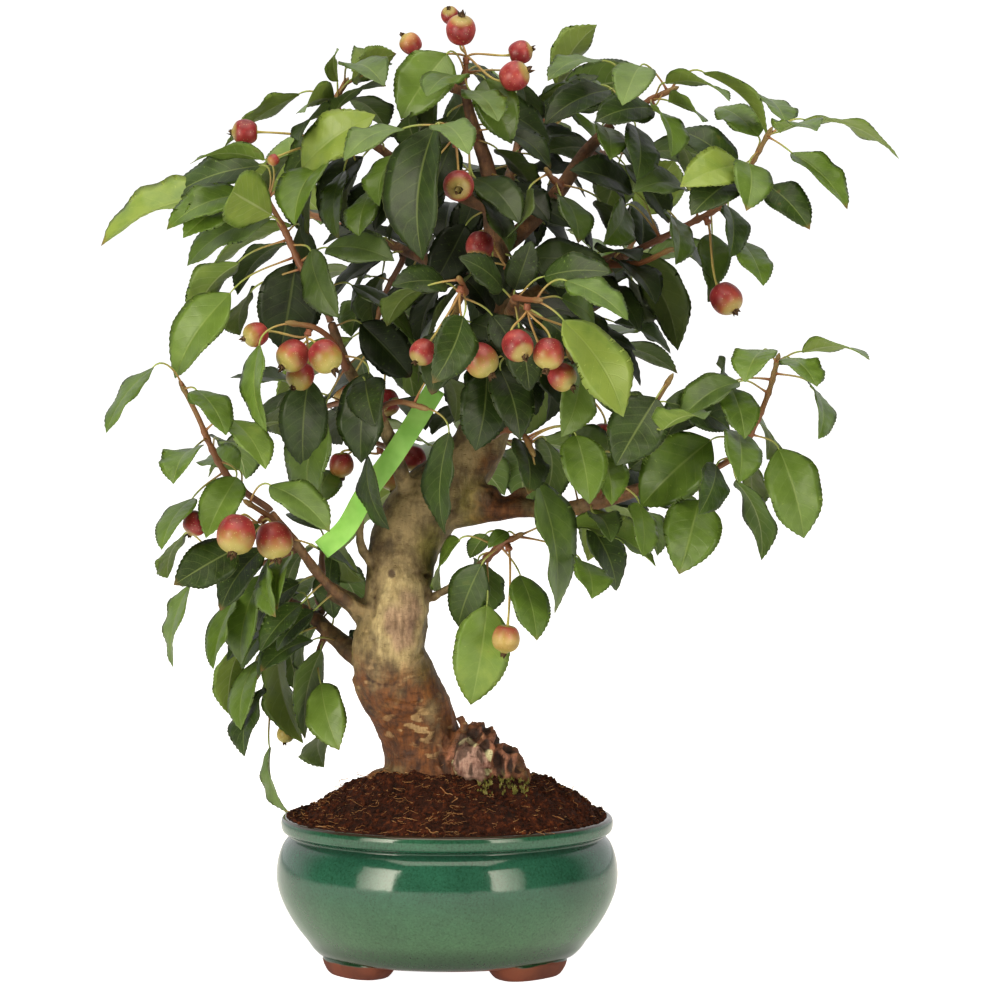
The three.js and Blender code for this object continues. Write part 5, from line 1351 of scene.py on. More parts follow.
def read_leaf(line, row, draw, shift):
    """The root, foot, tip and aims of a leaf that was read from the elevation."""
    fx, fy, tx, ty, _, side, *small = row
    flat = UNIT * math.hypot(tx - fx, ty - fy)
    full = small[0] if small else LEAF_LENGTH * (0.94 + 0.2 * draw())
    lean = side * math.sqrt(max(9, full * full - flat * flat)) * LEAN_SHARE
    best = None
    for at in line:
        depth = at.y + 0.35 * lean + 0.7 * shift
        foot = on_elevation(fx, fy, depth)
        tip = on_elevation(tx, ty, depth + lean + 0.3 * shift)
        reach = foot - at
        miss = abs(reach.length - PETIOLE) + 25 * max(0, reach.angle(tip - foot) - 1)
        if best is None or miss < best[0]:
            best = (miss, at, foot, tip)
    return best[1:]


def read_blade(row, root, foot, tip, roll, shrink):
    """The blade of a read leaf for one roll and size."""
    seen = UNIT * row[4]
    axis = (tip - foot).normalized()
    length = (tip - foot).length
    width = max(0.56 * length, min(seen * 1.05, 0.74 * length)) * shrink
    normal = turned_normal(axis, seen, width, UP + outward(foot) * TURNED_OUT)
    normal = Quaternion(axis, roll) @ normal
    reach = (foot - root).length
    bend = (foot - root).angle(axis)
    knee = None if bend < 0.9 else (foot - axis * 0.55 * reach).lerp(root, 0.5)
    return leaf_record(root, foot, tip, width, normal, knee=knee, folded=row[4] >= FOLDS_FROM)


def leaf_record(root, foot, tip, width, normal, **more):
    """What is known of a leaf once its ends, its width and the way it faces are set."""
    line = tip - foot
    return {"root": root, "foot": foot, "tip": tip, "axis": line.normalized(), "length": line.length,
            "width": width, "normal": normal, "knee": None, "folded": False, **more}


def ruled_leaf(line, index, count, draw, turn, roll, shrink):
    """A leaf set round its twig by rule."""
    at = math.floor((0.3 + 0.7 * (index + 0.5) / count) * (len(line) - 1) + 0.5)
    root = line[at]
    along = heading_at(line, at)
    phi = GOLDEN_TURN * index + 0.9 * draw() + turn
    side = Vector((0.3, 0.2, 1)).cross(along).normalized()
    other = along.cross(side)
    axis = side * math.cos(phi) + other * math.sin(phi) + along * 0.45 + outward(root) * 0.5
    axis.normalize()
    length = LEAF_LENGTH * (1 + 0.25 * draw()) * (0.5 + 0.5 * shrink)
    foot = root + axis * PETIOLE
    tip = foot + axis * length - UP * (0.1 + 0.25 * draw()) * length
    line_to_tip = (tip - foot).normalized()
    normal = square_to(UP + outward(foot) * TURNED_OUT, line_to_tip)
    width = length * (0.54 + 0.08 * draw()) * shrink
    return leaf_record(root, foot, tip, width, Quaternion(line_to_tip, roll) @ normal)


def blade_middle(leaf, s):
    """The midrib's place at a share s of the blade's length."""
    arch = leaf["arch"] * 4 * s * (1 - s)
    return leaf["foot"] + (leaf["axis"] * s + leaf["normal"] * arch) * leaf["length"]


def is_there(leaf, corners):
    """Whether the blade's tip and the corners of its widest ring are in the solid."""
    tip = leaf["tip"] - leaf["normal"] * 0.04 * leaf["length"]
    if corners.find(tip)[2] > FOUND_WITHIN:
        return False
    stations_of_blade = FULL_BLADE if leaf["folded"] else SIMPLE_BLADE
    s, spread, ripple = stations_of_blade[1]
    across = leaf["axis"].cross(leaf["normal"])
    reach = leaf["width"] * spread / 2
    for side in (-1, 1):
        lift = reach * ((leaf["fold"] if leaf["folded"] else 0) + side * ripple * leaf["wave"])
        margin = blade_middle(leaf, s) + across * side * reach + leaf["normal"] * (lift + HALF_THICK)
        if corners.find(margin)[2] > FOUND_WITHIN:
            return False
    return True


def give_shape(leaf, draw):
    leaf["arch"] = 0.05 + 0.07 * draw()
    leaf["fold"] = 0.12 + 0.2 * draw()
    leaf["wave"] = (-1 if draw() < 0.5 else 1) * (0.25 + 0.35 * draw())
    return leaf


def find_read(line, row, seed, corners):
    """The read leaf that is in the solid."""
    for shift in SHIFTS:
        root, foot, tip = read_leaf(line, row, draws_from(seed), shift)
        if corners.find(tip)[2] > 0.06 * (tip - foot).length:
            continue
        for shrink in SHRINKS:
            for roll in ROLLS:
                draw = draws_from(seed)
                if len(row) < 7:
                    draw()
                leaf = give_shape(read_blade(row, root, foot, tip, roll, shrink), draw)
                if is_there(leaf, corners):
                    return leaf
    return None


def find_ruled(line, index, count, seed, corners):
    """The ruled leaf that is in the solid."""
    for shrink in SHRINKS:
        for shift in SHIFTS:
            for roll in ROLLS:
                draw = draws_from(seed)
                leaf = ruled_leaf(line, index, count, draw, shift * 0.06, roll, shrink)
                if is_there(give_shape(leaf, draw), corners):
                    return leaf
    return None


# %% [markdown]
# A shoot stands on its limb, square to it, and its foot was moved out until it cleared the bark.
# The same steps outward are tried here until the first ring of the solid shoot is met.

# %% Finding where a shoot is seated
TWIG = {"root": 2.7, "end": 1.7}
SEAT_STEP = 0.1
SEAT_STEPS = 400


def seat_out(centre, normal, radius, corners):
    """The seat's place: out along the normal to where the solid's first ring is."""
    side = square_to(Vector((1, 0.13, 0.07)), normal)
    for step in range(SEAT_STEPS):
        at = centre + normal * (SEAT_STEP * step + GAP)
        if corners.find(at + side * radius)[2] < FOUND_WITHIN:
            return at
    return None


def twig_of(spray, corners):
    """A shoot's stations and the points where leaves may root."""
    limb, _ = limb_stations[spray["on"]]
    rows = [on_elevation(*row) for row in spray["twig"]]
    if "at" in spray:
        target = on_elevation(*spray["at"])
        nearest = min(range(1, len(limb) - 1), key=lambda i: (limb[i] - target).length)
        along = heading_at(limb, nearest)
        centre = limb[nearest] + along * (target - limb[nearest]).dot(along)
        normal = square_to(rows[0] - centre, along)
        seat = seat_out(centre, normal, TWIG["root"], corners)
    else:
        normal = (limb[-1] - limb[-2]).normalized()
        seat = limb[-1] + normal * GAP
    points_through = [seat, seat + normal * 2.5] + rows
    count = len(points_through)
    line = smooth_line(points_through, count)
    radii = [TWIG["root"] + (TWIG["end"] - TWIG["root"]) * i / count for i in range(count + 1)]
    roots = [line[i].lerp(line[i + 1], t) for i in range(1, count) for t in (0, 0.25, 0.5, 0.75)]
    if spray.get("fruit_at") == 1:
        roots = roots[:-4]
    else:
        roots.append(line[-1].lerp(line[-2], 0.1))
    return {"points": points_through, "line": line, "radii": radii, "roots": roots, "normal": normal}


twigs = {}
leaves = {}
missing = []
for spray_index, (spray_name, spray) in enumerate(SPRAYS.items()):
    corners = corners_of(f"spray_{spray_name}")
    twig = twigs[spray_name] = twig_of(spray, corners)
    tones = spray.get("tones", "")
    rows = spray.get("leaves", [])
    found = leaves[spray_name] = []
    for i, row in enumerate(rows):
        leaf = find_read(twig["roots"], row, 1000 * spray_index + i, corners)
        found.append((leaf, tones[i] if i < len(tones) else "m", 1000 * spray_index + i))
    for i in range(spray.get("fill", 0)):
        seed = 1000 * spray_index + 500 + i
        leaf = find_ruled(twig["roots"], i, spray["fill"], seed, corners)
        found.append((leaf, "mdml"[i % 4], seed))
    missing += [(spray_name, seed) for leaf, _, seed in found if leaf is None]
    found[:] = [entry for entry in found if entry[0] is not None]
print("leaves found", sum(len(found) for found in leaves.values()), "missing", missing)

# %% [markdown]
# A crabapple leaf is an egg-shaped blade with a drawn-out tip and fine forward teeth. It folds a
# little along the midrib, and its margins wave. The blade is a grid over its length and width:
# the two faces share one margin, the midrib is a groove above and a ridge below, and the blade
# puckers between its side veins. Drawing all leaves from one grid keeps them one kind, while
# the waves, the tilt of the tip and the age differ by seeded draws.

# %% The fine blade
BLADE_ROWS = 38
BLADE_COLUMNS = (-1, -0.74, -0.44, -0.13, 0, 0.13, 0.44, 0.74, 1)
VEIN_PAIRS = 8
VEIN_SLANT = 0.24
OUTLINE = ((0, 0.03), (0.04, 0.26), (0.1, 0.55), (0.2, 0.84), (0.32, 0.98), (0.43, 1), (0.56, 0.98),
           (0.68, 0.87), (0.79, 0.67), (0.88, 0.42), (0.945, 0.2), (1, 0.0))
TOOTH = 0.24
RIPPLE_SHARE = 0.36
VEIN_PUCKER = 0.35


def lookup(table, s):
    """A value between the rows of a small table."""
    for (s0, v0), (s1, v1) in zip(table, table[1:]):
        if s <= s1:
            return v0 + (v1 - v0) * (s - s0) / (s1 - s0)
    return table[-1][1]


def ripple_at(leaf, s):
    """The margin's wave along the blade, through the values that the solid's rings have."""
    ends = ease(s, 0, 0.2) * (1 - ease(s, 0.8, 1))
    if leaf["folded"]:
        return -0.6 * math.cos(2 * math.pi * (s - 0.5) / 0.57) * ends
    return 0.46 * math.cos(math.pi * (s - 0.3) / 0.38) * ends


def vein_phase(s, u):
    """Runs through whole numbers at the side veins, which slant forward from the midrib."""
    return (s - VEIN_SLANT * abs(u) ** 1.25) * VEIN_PAIRS + (0.5 if u > 0 else 0)


def fine_blade(leaf, draw):
    """The grid of the blade: its middle surface, face normals and half thickness."""
    length, width, rows = leaf["length"], leaf["width"], leaf.get("rows", BLADE_ROWS)
    straight = leaf["axis"].cross(leaf["normal"]).normalized()
    fold = leaf["fold"] if leaf["folded"] else 0.06 + 0.26 * draw()
    waves = [(1.2 + 1.8 * draw(), 6.28 * draw(), 0.03 + 0.09 * draw()) for _ in range(2)]
    curl = 0.16 * (draw() - 0.35)
    bow = 0.06 * (draw() - 0.5) * length
    droop = 0.03 + 0.08 * draw()
    twist = 0.5 * (draw() - 0.5)
    grid = []
    for row in range(rows + 1):
        s = row / rows
        reach = width / 2 * lookup(OUTLINE, s)
        sway = straight * bow * s * s * (3 - 2 * s)
        across = Quaternion(leaf["axis"], twist * s) @ straight
        middle = blade_middle(leaf, s) - leaf["normal"] * droop * s ** 3 * length + sway
        for u in BLADE_COLUMNS:
            side = 0 if u < 0 else 1
            beats, start, size = waves[side]
            ripple = u * abs(u) ** 0.4 * ripple_at(leaf, s) * leaf["wave"] * RIPPLE_SHARE
            lift = reach * (abs(u) * fold + ripple)
            lift += reach * size * math.sin(6.28 * beats * s + start) * abs(u) ** 2.5 * ease(s, 0, 0.25)
            lift -= reach * curl * u * u
            pucker = math.cos(2 * math.pi * vein_phase(s, u)) * abs(u) * (1 - abs(u)) * 4
            lift -= VEIN_PUCKER * pucker * min(1, reach / 8)
            out = reach * u
            if abs(u) == 1 and 0.08 < s < 0.97:
                out += (TOOTH if row % 2 else -0.15) * u
                middle_of_tooth = leaf["axis"] * (0.5 if row % 2 else 0)
            else:
                middle_of_tooth = Vector((0, 0, 0))
            groove = -0.35 * (1 - s) ** 0.5 if u == 0 else 0
            grid.append(middle + across * out + leaf["normal"] * (lift + groove) + middle_of_tooth)
    return grid


def blade_mesh(leaf, draw):
    """Points, faces and shares of a closed blade whose two faces share the margin."""
    columns, rows = len(BLADE_COLUMNS), leaf.get("rows", BLADE_ROWS)
    grid = fine_blade(leaf, draw)
    lower_of = {}
    points = [tuple(p) for p in grid]
    across = [BLADE_COLUMNS[i % columns] for i in range(len(grid))]
    along = [(i // columns) / rows for i in range(len(grid))]
    under = [0.0] * len(grid)
    for i, point in enumerate(grid):
        row, column = divmod(i, columns)
        if row in (0, rows) or column in (0, columns - 1):
            lower_of[i] = i
            continue
        thick = 0.32 + (0.5 * (1 - along[i]) if across[i] == 0 else 0)
        lower_of[i] = len(points)
        points.append(tuple(point - leaf["normal"] * thick))
        across.append(across[i])
        along.append(along[i])
        under.append(1.0)
    faces = []
    for row in range(rows):
        for column in range(columns - 1):
            a = row * columns + column
            quad = (a, a + 1, a + 1 + columns, a + columns)
            faces.append(quad)
            faces.append(tuple(lower_of[i] for i in reversed(quad)))
    return points, faces, across, along, under


TONES = {"b": 1.0, "l": 0.74, "m": 0.55, "d": 0.18, "g": 0.42}
# The petiole's radius in mm and its age from the twig to the blade.
PETIOLE_RADII = (1.05, 0.8, 0.62, 0.62, 0.62, 0.62, 0.62, 0.62, 0.55, 0.4)
PETIOLE_AGE = (0.9, 0.7, 0.5, 0.4, 0.3, 0.2, 0.1, 0, 0, 0)
# Painted shade: leaves are darkened towards the middle of the crown, standing in for the shade
# that the outer leaves cast there.
CROWN_SHADE = {"middle": (20, 25, 400), "half": (200, 165, 180), "dark": 0.5, "light": 0.95}


def crown_shade_share(place):
    """The share of painted shade on a leaf: 1 deep inside the crown, 0 at its outside."""
    out = math.hypot(*((place[i] - CROWN_SHADE["middle"][i]) / CROWN_SHADE["half"][i] for i in range(3)))
    return 1 - ease(out, CROWN_SHADE["dark"], CROWN_SHADE["light"])


def dressed_leaf(piece, leaf, tone, seed):
    """Adds a blade and its petiole to a piece."""
    draw = draws_from(seed + 77)
    points, faces, across, along, under = blade_mesh(leaf, draw)
    shade = min(1, max(0, TONES[tone] + 0.16 * (draw() - 0.5)))
    # Dusty grey leaves get a grey bloom that is partly real dust and partly a painted sheen of the
    # light.
    dust = (0.75 if tone == "g" else 0.0) + 0.35 * draw() ** 2
    age = draw() ** 3
    own = draw()
    # The deep share is painted shade, which darkens blades in the middle of the crown.
    piece.put(points, faces, 0, across=across, along=along, under=under, tone=shade, dust=min(1, dust),
              age=age, own=own, deep=crown_shade_share(leaf["foot"].lerp(leaf["tip"], 0.5)))
    foot = blade_middle(leaf, 0.02)
    reach = (leaf["foot"] - leaf["root"]).length
    bend = leaf["knee"] or leaf["root"].lerp(leaf["foot"], 0.45) + UP * 0.06 * reach
    line = bezier(leaf["root"], bend, leaf["foot"] - leaf["axis"] * 0.35 * reach, foot, 9)
    tube(piece, line, PETIOLE_RADII, 7, 1, own=own, tone=shade, age=PETIOLE_AGE)
    return points


# %% [markdown]
# The leaf shader reads each blade's shares. The upper face is a dark, half-glossy green with
# pale midrib and side veins; the underside is paler and matte with raised veins; the margin is a
# thin pale line; old leaves go yellow-brown at the tip. Young leaves are yellow-green and
# shinier, and a few have a grey bloom that is partly dust and spray and partly a painted sheen
# of the light. Blades deep in the crown are darkened with painted shade. Light comes through the
# blade a little.

# %% Leaf and petiole
def leaf_material():
    material, node, place = new_material("crabapple_leaf")
    across, along, under, light, dust, age, deep = (
        node("Attribute", attribute_name=name, out="Fac")
        for name in ("across", "along", "under", "tone", "dust", "age", "deep"))
    wobble = node("TexNoise", place, Scale=130, Detail=2)
    blotch = node("TexNoise", place, Scale=95, Detail=4)
    patch = node("TexNoise", place, Scale=28, Detail=3)
    cells = node("TexVoronoi", place, Scale=620, feature="DISTANCE_TO_EDGE")
    out = node("ABSOLUTE", across)
    slant = node("MULTIPLY", node("POWER", out, 1.25), VEIN_SLANT)
    phase = node("MULTIPLY", node("SUBTRACT", along, slant), float(VEIN_PAIRS))
    right = node("MULTIPLY", node("GREATER_THAN", across, 0.0), 0.5)
    shifted = node("ADD", node("ADD", phase, right), node("MULTIPLY", wobble, 0.18))
    to_vein = node("ABSOLUTE", node("SUBTRACT", node("FRACT", shifted), 0.5))
    side_vein = node("MULTIPLY", node("MapRange", to_vein, 0.42, 0.5, **SMOOTH),
                    node("MapRange", out, 0.98, 0.6, **SMOOTH))
    midrib = node("MapRange", out, 0.055, 0.015, **SMOOTH)
    vein = node("MAXIMUM", midrib, node("MULTIPLY", side_vein, 0.32))
    net = node("MapRange", cells, 0.09, 0.0, **SMOOTH)
    # Partly a real bloom of dust and partly a painted sheen: a pale grey mixed into the upper face.
    bloom_and_sheen = node("MULTIPLY", dust, node("MapRange", patch, 0.35, 0.65, 0.35, 1.0, **SMOOTH))
    edge = node("MapRange", out, 0.965, 1.0, **SMOOTH)
    tip = node("MULTIPLY", node("MapRange", along, 0.9, 1.0, **SMOOTH),
              node("MapRange", age, 0.3, 0.7, **SMOOTH))
    spots = node("MULTIPLY", node("MapRange", blotch, 0.7, 0.74, **SMOOTH), age)
    tone = node("ADD", light, node("MULTIPLY", node("SUBTRACT", blotch, 0.5), 0.6))
    skin = node("ValToRGB", tone, stops=((0.0, "#192709"), (0.28, "#3b541b"), (0.55, "#617e2c"),
                                              (0.8, "#789540"), (1.0, "#94aa4c")))
    for share, most, film in ((vein, 0.36, "#a3b565"), (net, 0.05, "#a3b868"), (bloom_and_sheen, 0.38, "#8fa86a")):
        skin = node("Mix", node("MULTIPLY", share, most), skin, film, **BLEND)
    below = node("ValToRGB", tone,
                stops=((0.0, "#587636"), (0.4, "#7b9642"), (0.8, "#99ae50"), (1.0, "#a9bc5b")))
    below = node("Mix", node("MULTIPLY", vein, 0.55), below, "#c9d59a", **BLEND)
    skin = node("Mix", under, skin, below, **BLEND)
    for share, most, film in ((edge, 0.35, "#b7c27a"), (tip, 0.85, "#8c6a3a"), (spots, 0.6, "#7a5a32")):
        skin = node("Mix", node("MULTIPLY", share, most), skin, film, **BLEND)
    # Painted shade: the deep share darkens blades in the middle of the crown, standing in for the shade
    # cast there.
    skin = node("Mix", node("MULTIPLY", deep, 0.8), skin, "#4c5638", **DARKEN)
    dull = node("ADD", node("MULTIPLY", under, 0.25),
               node("MapRange", light, 0.4, 0.1, 0.0, 0.16, **SMOOTH))
    rough = node("ADD", node("MapRange", bloom_and_sheen, To_Min=0.31, To_Max=0.46), dull)
    relief = node("ADD", node("MULTIPLY", vein, -0.8), node("MULTIPLY", net, -0.08))
    facing = node("SUBTRACT", 1.0, node("MULTIPLY", under, 2.0))
    bump = node("Bump", Height=node("MULTIPLY", relief, facing), Strength=0.4,
               Distance=0.0005)
    blade = node("BsdfPrincipled", Base_Color=skin, Roughness=rough, Normal=bump, IOR=1.42,
                Coat_Weight=0.12, Coat_Roughness=0.3)
    glow = node("BsdfTranslucent", skin, Normal=bump)
    node("OutputMaterial", node("MixShader", 0.2, blade, glow))
    return material


def stem_material(name, stops, roughness):
    """Young green or reddish stem, coloured from its tip to its root by age."""
    material, node, place = new_material(name)
    fleck = node("TexNoise", place, Scale=380, Detail=3)
    age = node("Attribute", attribute_name="age", out="Fac")
    blend = node("MULTIPLY_ADD", fleck, 0.3, age)
    skin = node("ValToRGB", node("SUBTRACT", blend, 0.15), stops=stops)
    bump = node("Bump", Height=fleck, Strength=0.25, Distance=0.0004)
    node("OutputMaterial",
        node("BsdfPrincipled", Base_Color=skin, Normal=bump, Roughness=roughness))
    return material


leaf_finish = leaf_material()
petiole_finish = stem_material("petiole", ((0, "#93a24f"), (0.4, "#a28a4e"), (0.8, "#8a5034")), 0.45)
twig_finish = stem_material("young_twig", ((0, "#7d6a3a"), (0.3, "#7a4c2c"), (0.7, "#6c3f28"),
                                           (1.0, "#6b4a34")), 0.55)

# %% [markdown]
# A shoot is a thin woody stem, thicker at each bud, with a pointed end bud. Its leaves stand on
# it at the roots that were found. Blades and petioles make one piece and the stem another.

# %% Leaves and shoots
TWIG_STEP = 1.2
BUD_LENGTH = 1.8
# The end bud: how far past the stem in mm, and the share of the stem's radius there.
END_BUD = ((1.2, 0.98), (2.6, 0.8), (3.8, 0.45), (4.6, 0.14))


def shoot_tube(piece, twig, roots):
    """The stem with a swelling at each leaf's root and a bud at its end."""
    steps = max(8, round(length_of(twig["line"]) / TWIG_STEP))
    line = smooth_line(twig["points"], steps)
    radii = []
    for i, at in enumerate(line):
        radius = TWIG["root"] + (TWIG["end"] - TWIG["root"]) * i / steps
        close = min((root - at).length for root in roots) if roots else 99
        radii.append(radius * (0.86 + 0.3 * math.exp(-(close / BUD_LENGTH) ** 2)))
    heading = (line[-1] - line[-2]).normalized()
    for out, share in END_BUD:
        line.append(line[steps] + heading * out)
        radii.append(radii[steps] * share)
    age = [1 - i / len(line) for i in range(len(line))]
    tube(piece, line, radii, 12, 0, start=twig["normal"], age=age)


leaf_count = 0
blade_points = []
for spray_name, found in leaves.items():
    foliage = Piece()
    for leaf, tone, seed in found:
        blade_points.append(dressed_leaf(foliage, leaf, tone, seed))
    node = f"spray_{spray_name}"
    if found:
        show(f"leaves_{spray_name}", foliage, "leaf", node, finishes=[leaf_finish, petiole_finish])
    stem = Piece()
    shoot_tube(stem, twigs[spray_name], [leaf["root"] for leaf, _, _ in found])
    show(f"shoot_{spray_name}", stem, "bark", node, finishes=[twig_finish])
    leaf_count += len(found)
print("leaves dressed", leaf_count)

# %% [markdown]
# Inside the crown the limbs carry many more leaves on short spurs, small and dark because they
# grew in the shade. They are set round the limbs by rule, a golden turn apart, and a leaf is kept
# only where its blade meets none that is there already. That test is done on a grid of small
# cubes, which is quick and close enough for leaves that nobody will look at one by one.

# %% Shade leaves on the inner limbs
SHADE = {"every": 3.2, "petiole": 7, "spread": 16, "length": 32, "grow": 16, "broad": 0.6,
         "rows": 20, "cube": 3.5, "hits": 2}
# The view to the trunk is kept clear below this height, within this half-width.
CLEAR = {"below": 335, "half": 78, "back": 4}
# The limbs that carry them, and the share of each limb where they start.
SHADE_LIMBS = {"trunk": 0.62, "left_top": 0.15, "left_high": 0.2, "left_back": 0.2, "left_low": 0.35,
               "front_left": 0.2, "back_left": 0.2, "back_right": 0.2, "back_top": 0.15, "front": 0.2,
               "right_high": 0.15, "top_right": 0.15, "right_low": 0.25}


def cubes_of(places):
    """The small cubes that hold a set of points."""
    return {tuple(cube) for cube in np.floor(np.asarray(places) / SHADE["cube"]).astype(int).tolist()}


def shade_leaf(root, along, index, draw):
    """A small hanging leaf on a spur of a limb."""
    side = UP.cross(along).normalized()
    other = along.cross(side)
    phi = GOLDEN_TURN * index + 0.8 * draw()
    axis = side * math.cos(phi) + other * math.sin(phi) + outward(root) * 0.35 - UP * 0.25
    axis.normalize()
    foot = root + axis * (SHADE["petiole"] + SHADE["spread"] * draw())
    length = SHADE["length"] + SHADE["grow"] * draw()
    tip = foot + (axis - UP * (0.25 + 0.6 * draw()) + outward(root) * 0.3).normalized() * length
    line = (tip - foot).normalized()
    want = UP * 0.8 + outward(foot) * 0.5 + FRONT * 0.6
    width = SHADE["broad"] * length
    leaf = leaf_record(root, foot, tip, width, square_to(want, line), rows=SHADE["rows"])
    return give_shape(leaf, draw)


def hides_trunk(places):
    """Whether a leaf would hang in front of the bare trunk, the tag or the low fruit."""
    return any(z < CLEAR["below"] and abs(x) < CLEAR["half"] and y < CLEAR["back"] for x, y, z in places)


taken = cubes_of(points)
for places in blade_points:
    taken |= cubes_of(places)
tag_line = smooth_line([on_elevation(*row) for row in TAG_PATH], 60)
taken |= cubes_of([at + Vector((side, -0.4 * side, 0)) for at in tag_line for side in (-6, -3, 0, 3, 6)])
for spray in SPRAYS.values():
    for x, y, depth, size, *_ in spray.get("fruit", []):
        apple = Piece()
        for share in (0.5, 1.05):
            ball(apple, on_elevation(x, y, depth), [UNIT * size * share] * 3)
        taken |= cubes_of(np.concatenate(apple.points))
shade_count = 0
for limb_index, (limb_name, start) in enumerate(SHADE_LIMBS.items()):
    limb, radii = limb_stations[limb_name]
    steps = round(length_of(limb) / SHADE["every"])
    line = smooth_line(limb, steps)
    canopy = Piece()
    for i in range(round(start * steps), steps):
        draw = draws_from(9000 + 100 * limb_index + i)
        leaf = shade_leaf(line[i], heading_at(line, i), i, draw)
        places = blade_mesh(leaf, draws_from(i))[0]
        cubes = cubes_of(places)
        if len(cubes & taken) > SHADE["hits"] or hides_trunk(places):
            continue
        taken |= cubes
        dressed_leaf(canopy, leaf, "d", 9000 + 100 * limb_index + i)
        shade_count += 1
    if canopy.faces:
        show(f"shade_leaves_{limb_name}", canopy, "leaf", finishes=[leaf_finish, petiole_finish])
print("shade leaves", shade_count)

# %% [markdown]
# Crabapples hang in bunches from a short spur, each on its own thin stalk. A fruit is a round
# pome with a pit where the stalk enters and a short neck at the far end, where the dry sepals
# of the flower stay as a small dark star. One turned profile serves all; size, heading and
# ripeness come from the readings, and a slow wander keeps any two from being alike.

# %% Fruit
KNOB = {"root": 2, "length": 3.4}
SPUR_RADII = (2.0, 1.8, 2.2, 2.35, 1.6)
STALK_STEPS = 16
# Share of the radius out from the line, and along it, from the stalk's pit to the calyx.
POME = [(0.0, -0.72), (0.1, -0.75), (0.22, -0.84), (0.38, -0.91), (0.56, -0.86), (0.76, -0.69),
        (0.9, -0.42), (0.985, -0.08), (0.99, 0.2), (0.93, 0.47), (0.8, 0.7), (0.6, 0.87), (0.4, 0.96),
        (0.29, 1.0), (0.24, 1.06), (0.19, 1.07), (0.14, 1.0), (0.0, 0.93)]
POME_TURNS = 28
POME_STEPS = 2
SEPALS = 5
# How ripe each fruit of a bunch is: red, pink, yellow with a red cheek, olive, or tan.
RIPE = {"left_fruit": "rt", "leader": "trrrr", "centre_top": "r", "centre_right": "r",
        "front_centre": "rppp", "front_left": "yr", "left_mid_fruit": "ppyp", "left_low_fruit": "rpp",
        "low_left": "oo", "behind_left": "ttr", "right_twig": "n", "right_high": "q",
        "back_right_low": "yp", "back_left_mid": "yr", "back_top": "ro"}
# Share of red, and share of tan against green in the ground colour.
RIPENESS = {"r": (0.9, 0.25), "p": (0.64, 0.3), "y": (0.58, 0.1), "o": (0.12, 0.15), "t": (0.5, 0.9),
            "q": (0.74, 1.0), "n": (0.25, 0.4)}


def pome_mesh(piece, centre, radius, down, red, tan, draw):
    """One fruit with its sepals."""
    side = down.orthogonal().normalized()
    side = Quaternion(down, 6.28 * draw()) @ side
    other = down.cross(side)
    profile = smooth_line([Vector((r, z, 0)) for r, z in POME], POME_STEPS * (len(POME) - 1))
    phase, ribs = 6.28 * draw(), 0.012 + 0.014 * draw()
    lean = 0.05 * (draw() - 0.5)
    points, heights = [], []
    for p in profile[1:-1]:
        for turn, c, s in circle(POME_TURNS):
            out = p.x * (1 + ribs * math.cos(5 * turn + phase) * ease(abs(p.y), 0.3, 1))
            out_line = side * c + other * s
            points.append(centre + (out_line * out + side * lean * p.y + down * p.y) * radius)
            heights.append(p.y)
    for p in (profile[0], profile[-1]):
        points.append(centre + down * p.y * radius)
        heights.append(p.y)
    rings = len(profile) - 2
    piece.put(points, ring_faces(rings, POME_TURNS), 0, fall=heights, red=red,
              tan=tan, own=draw())
    for i in range(SEPALS):
        turn = 2 * math.pi * (i + 0.3 * draw()) / SEPALS
        out = side * math.cos(turn) + other * math.sin(turn)
        cross = down.cross(out)
        root = centre + (down * 1.0 + out * 0.16) * radius
        bend = root + (down * 0.13 + out * 0.04) * radius
        tip = bend + (down * (0.16 + 0.2 * draw()) + out * (0.22 * draw() - 0.08)) * radius
        rows = [(root, 0.16), (bend, 0.16), (bend.lerp(tip, 0.5), 0.1), (tip, 0.02)]
        strip = []
        for at, half in rows:
            for across, high in ((-1, 0), (0, 0.03), (1, 0), (0, -0.02)):
                strip.append(at + (cross * across * half + down * high) * radius)
        strip += [rows[0][0], rows[-1][0]]
        piece.put(strip, ring_faces(len(rows), 4), 2)


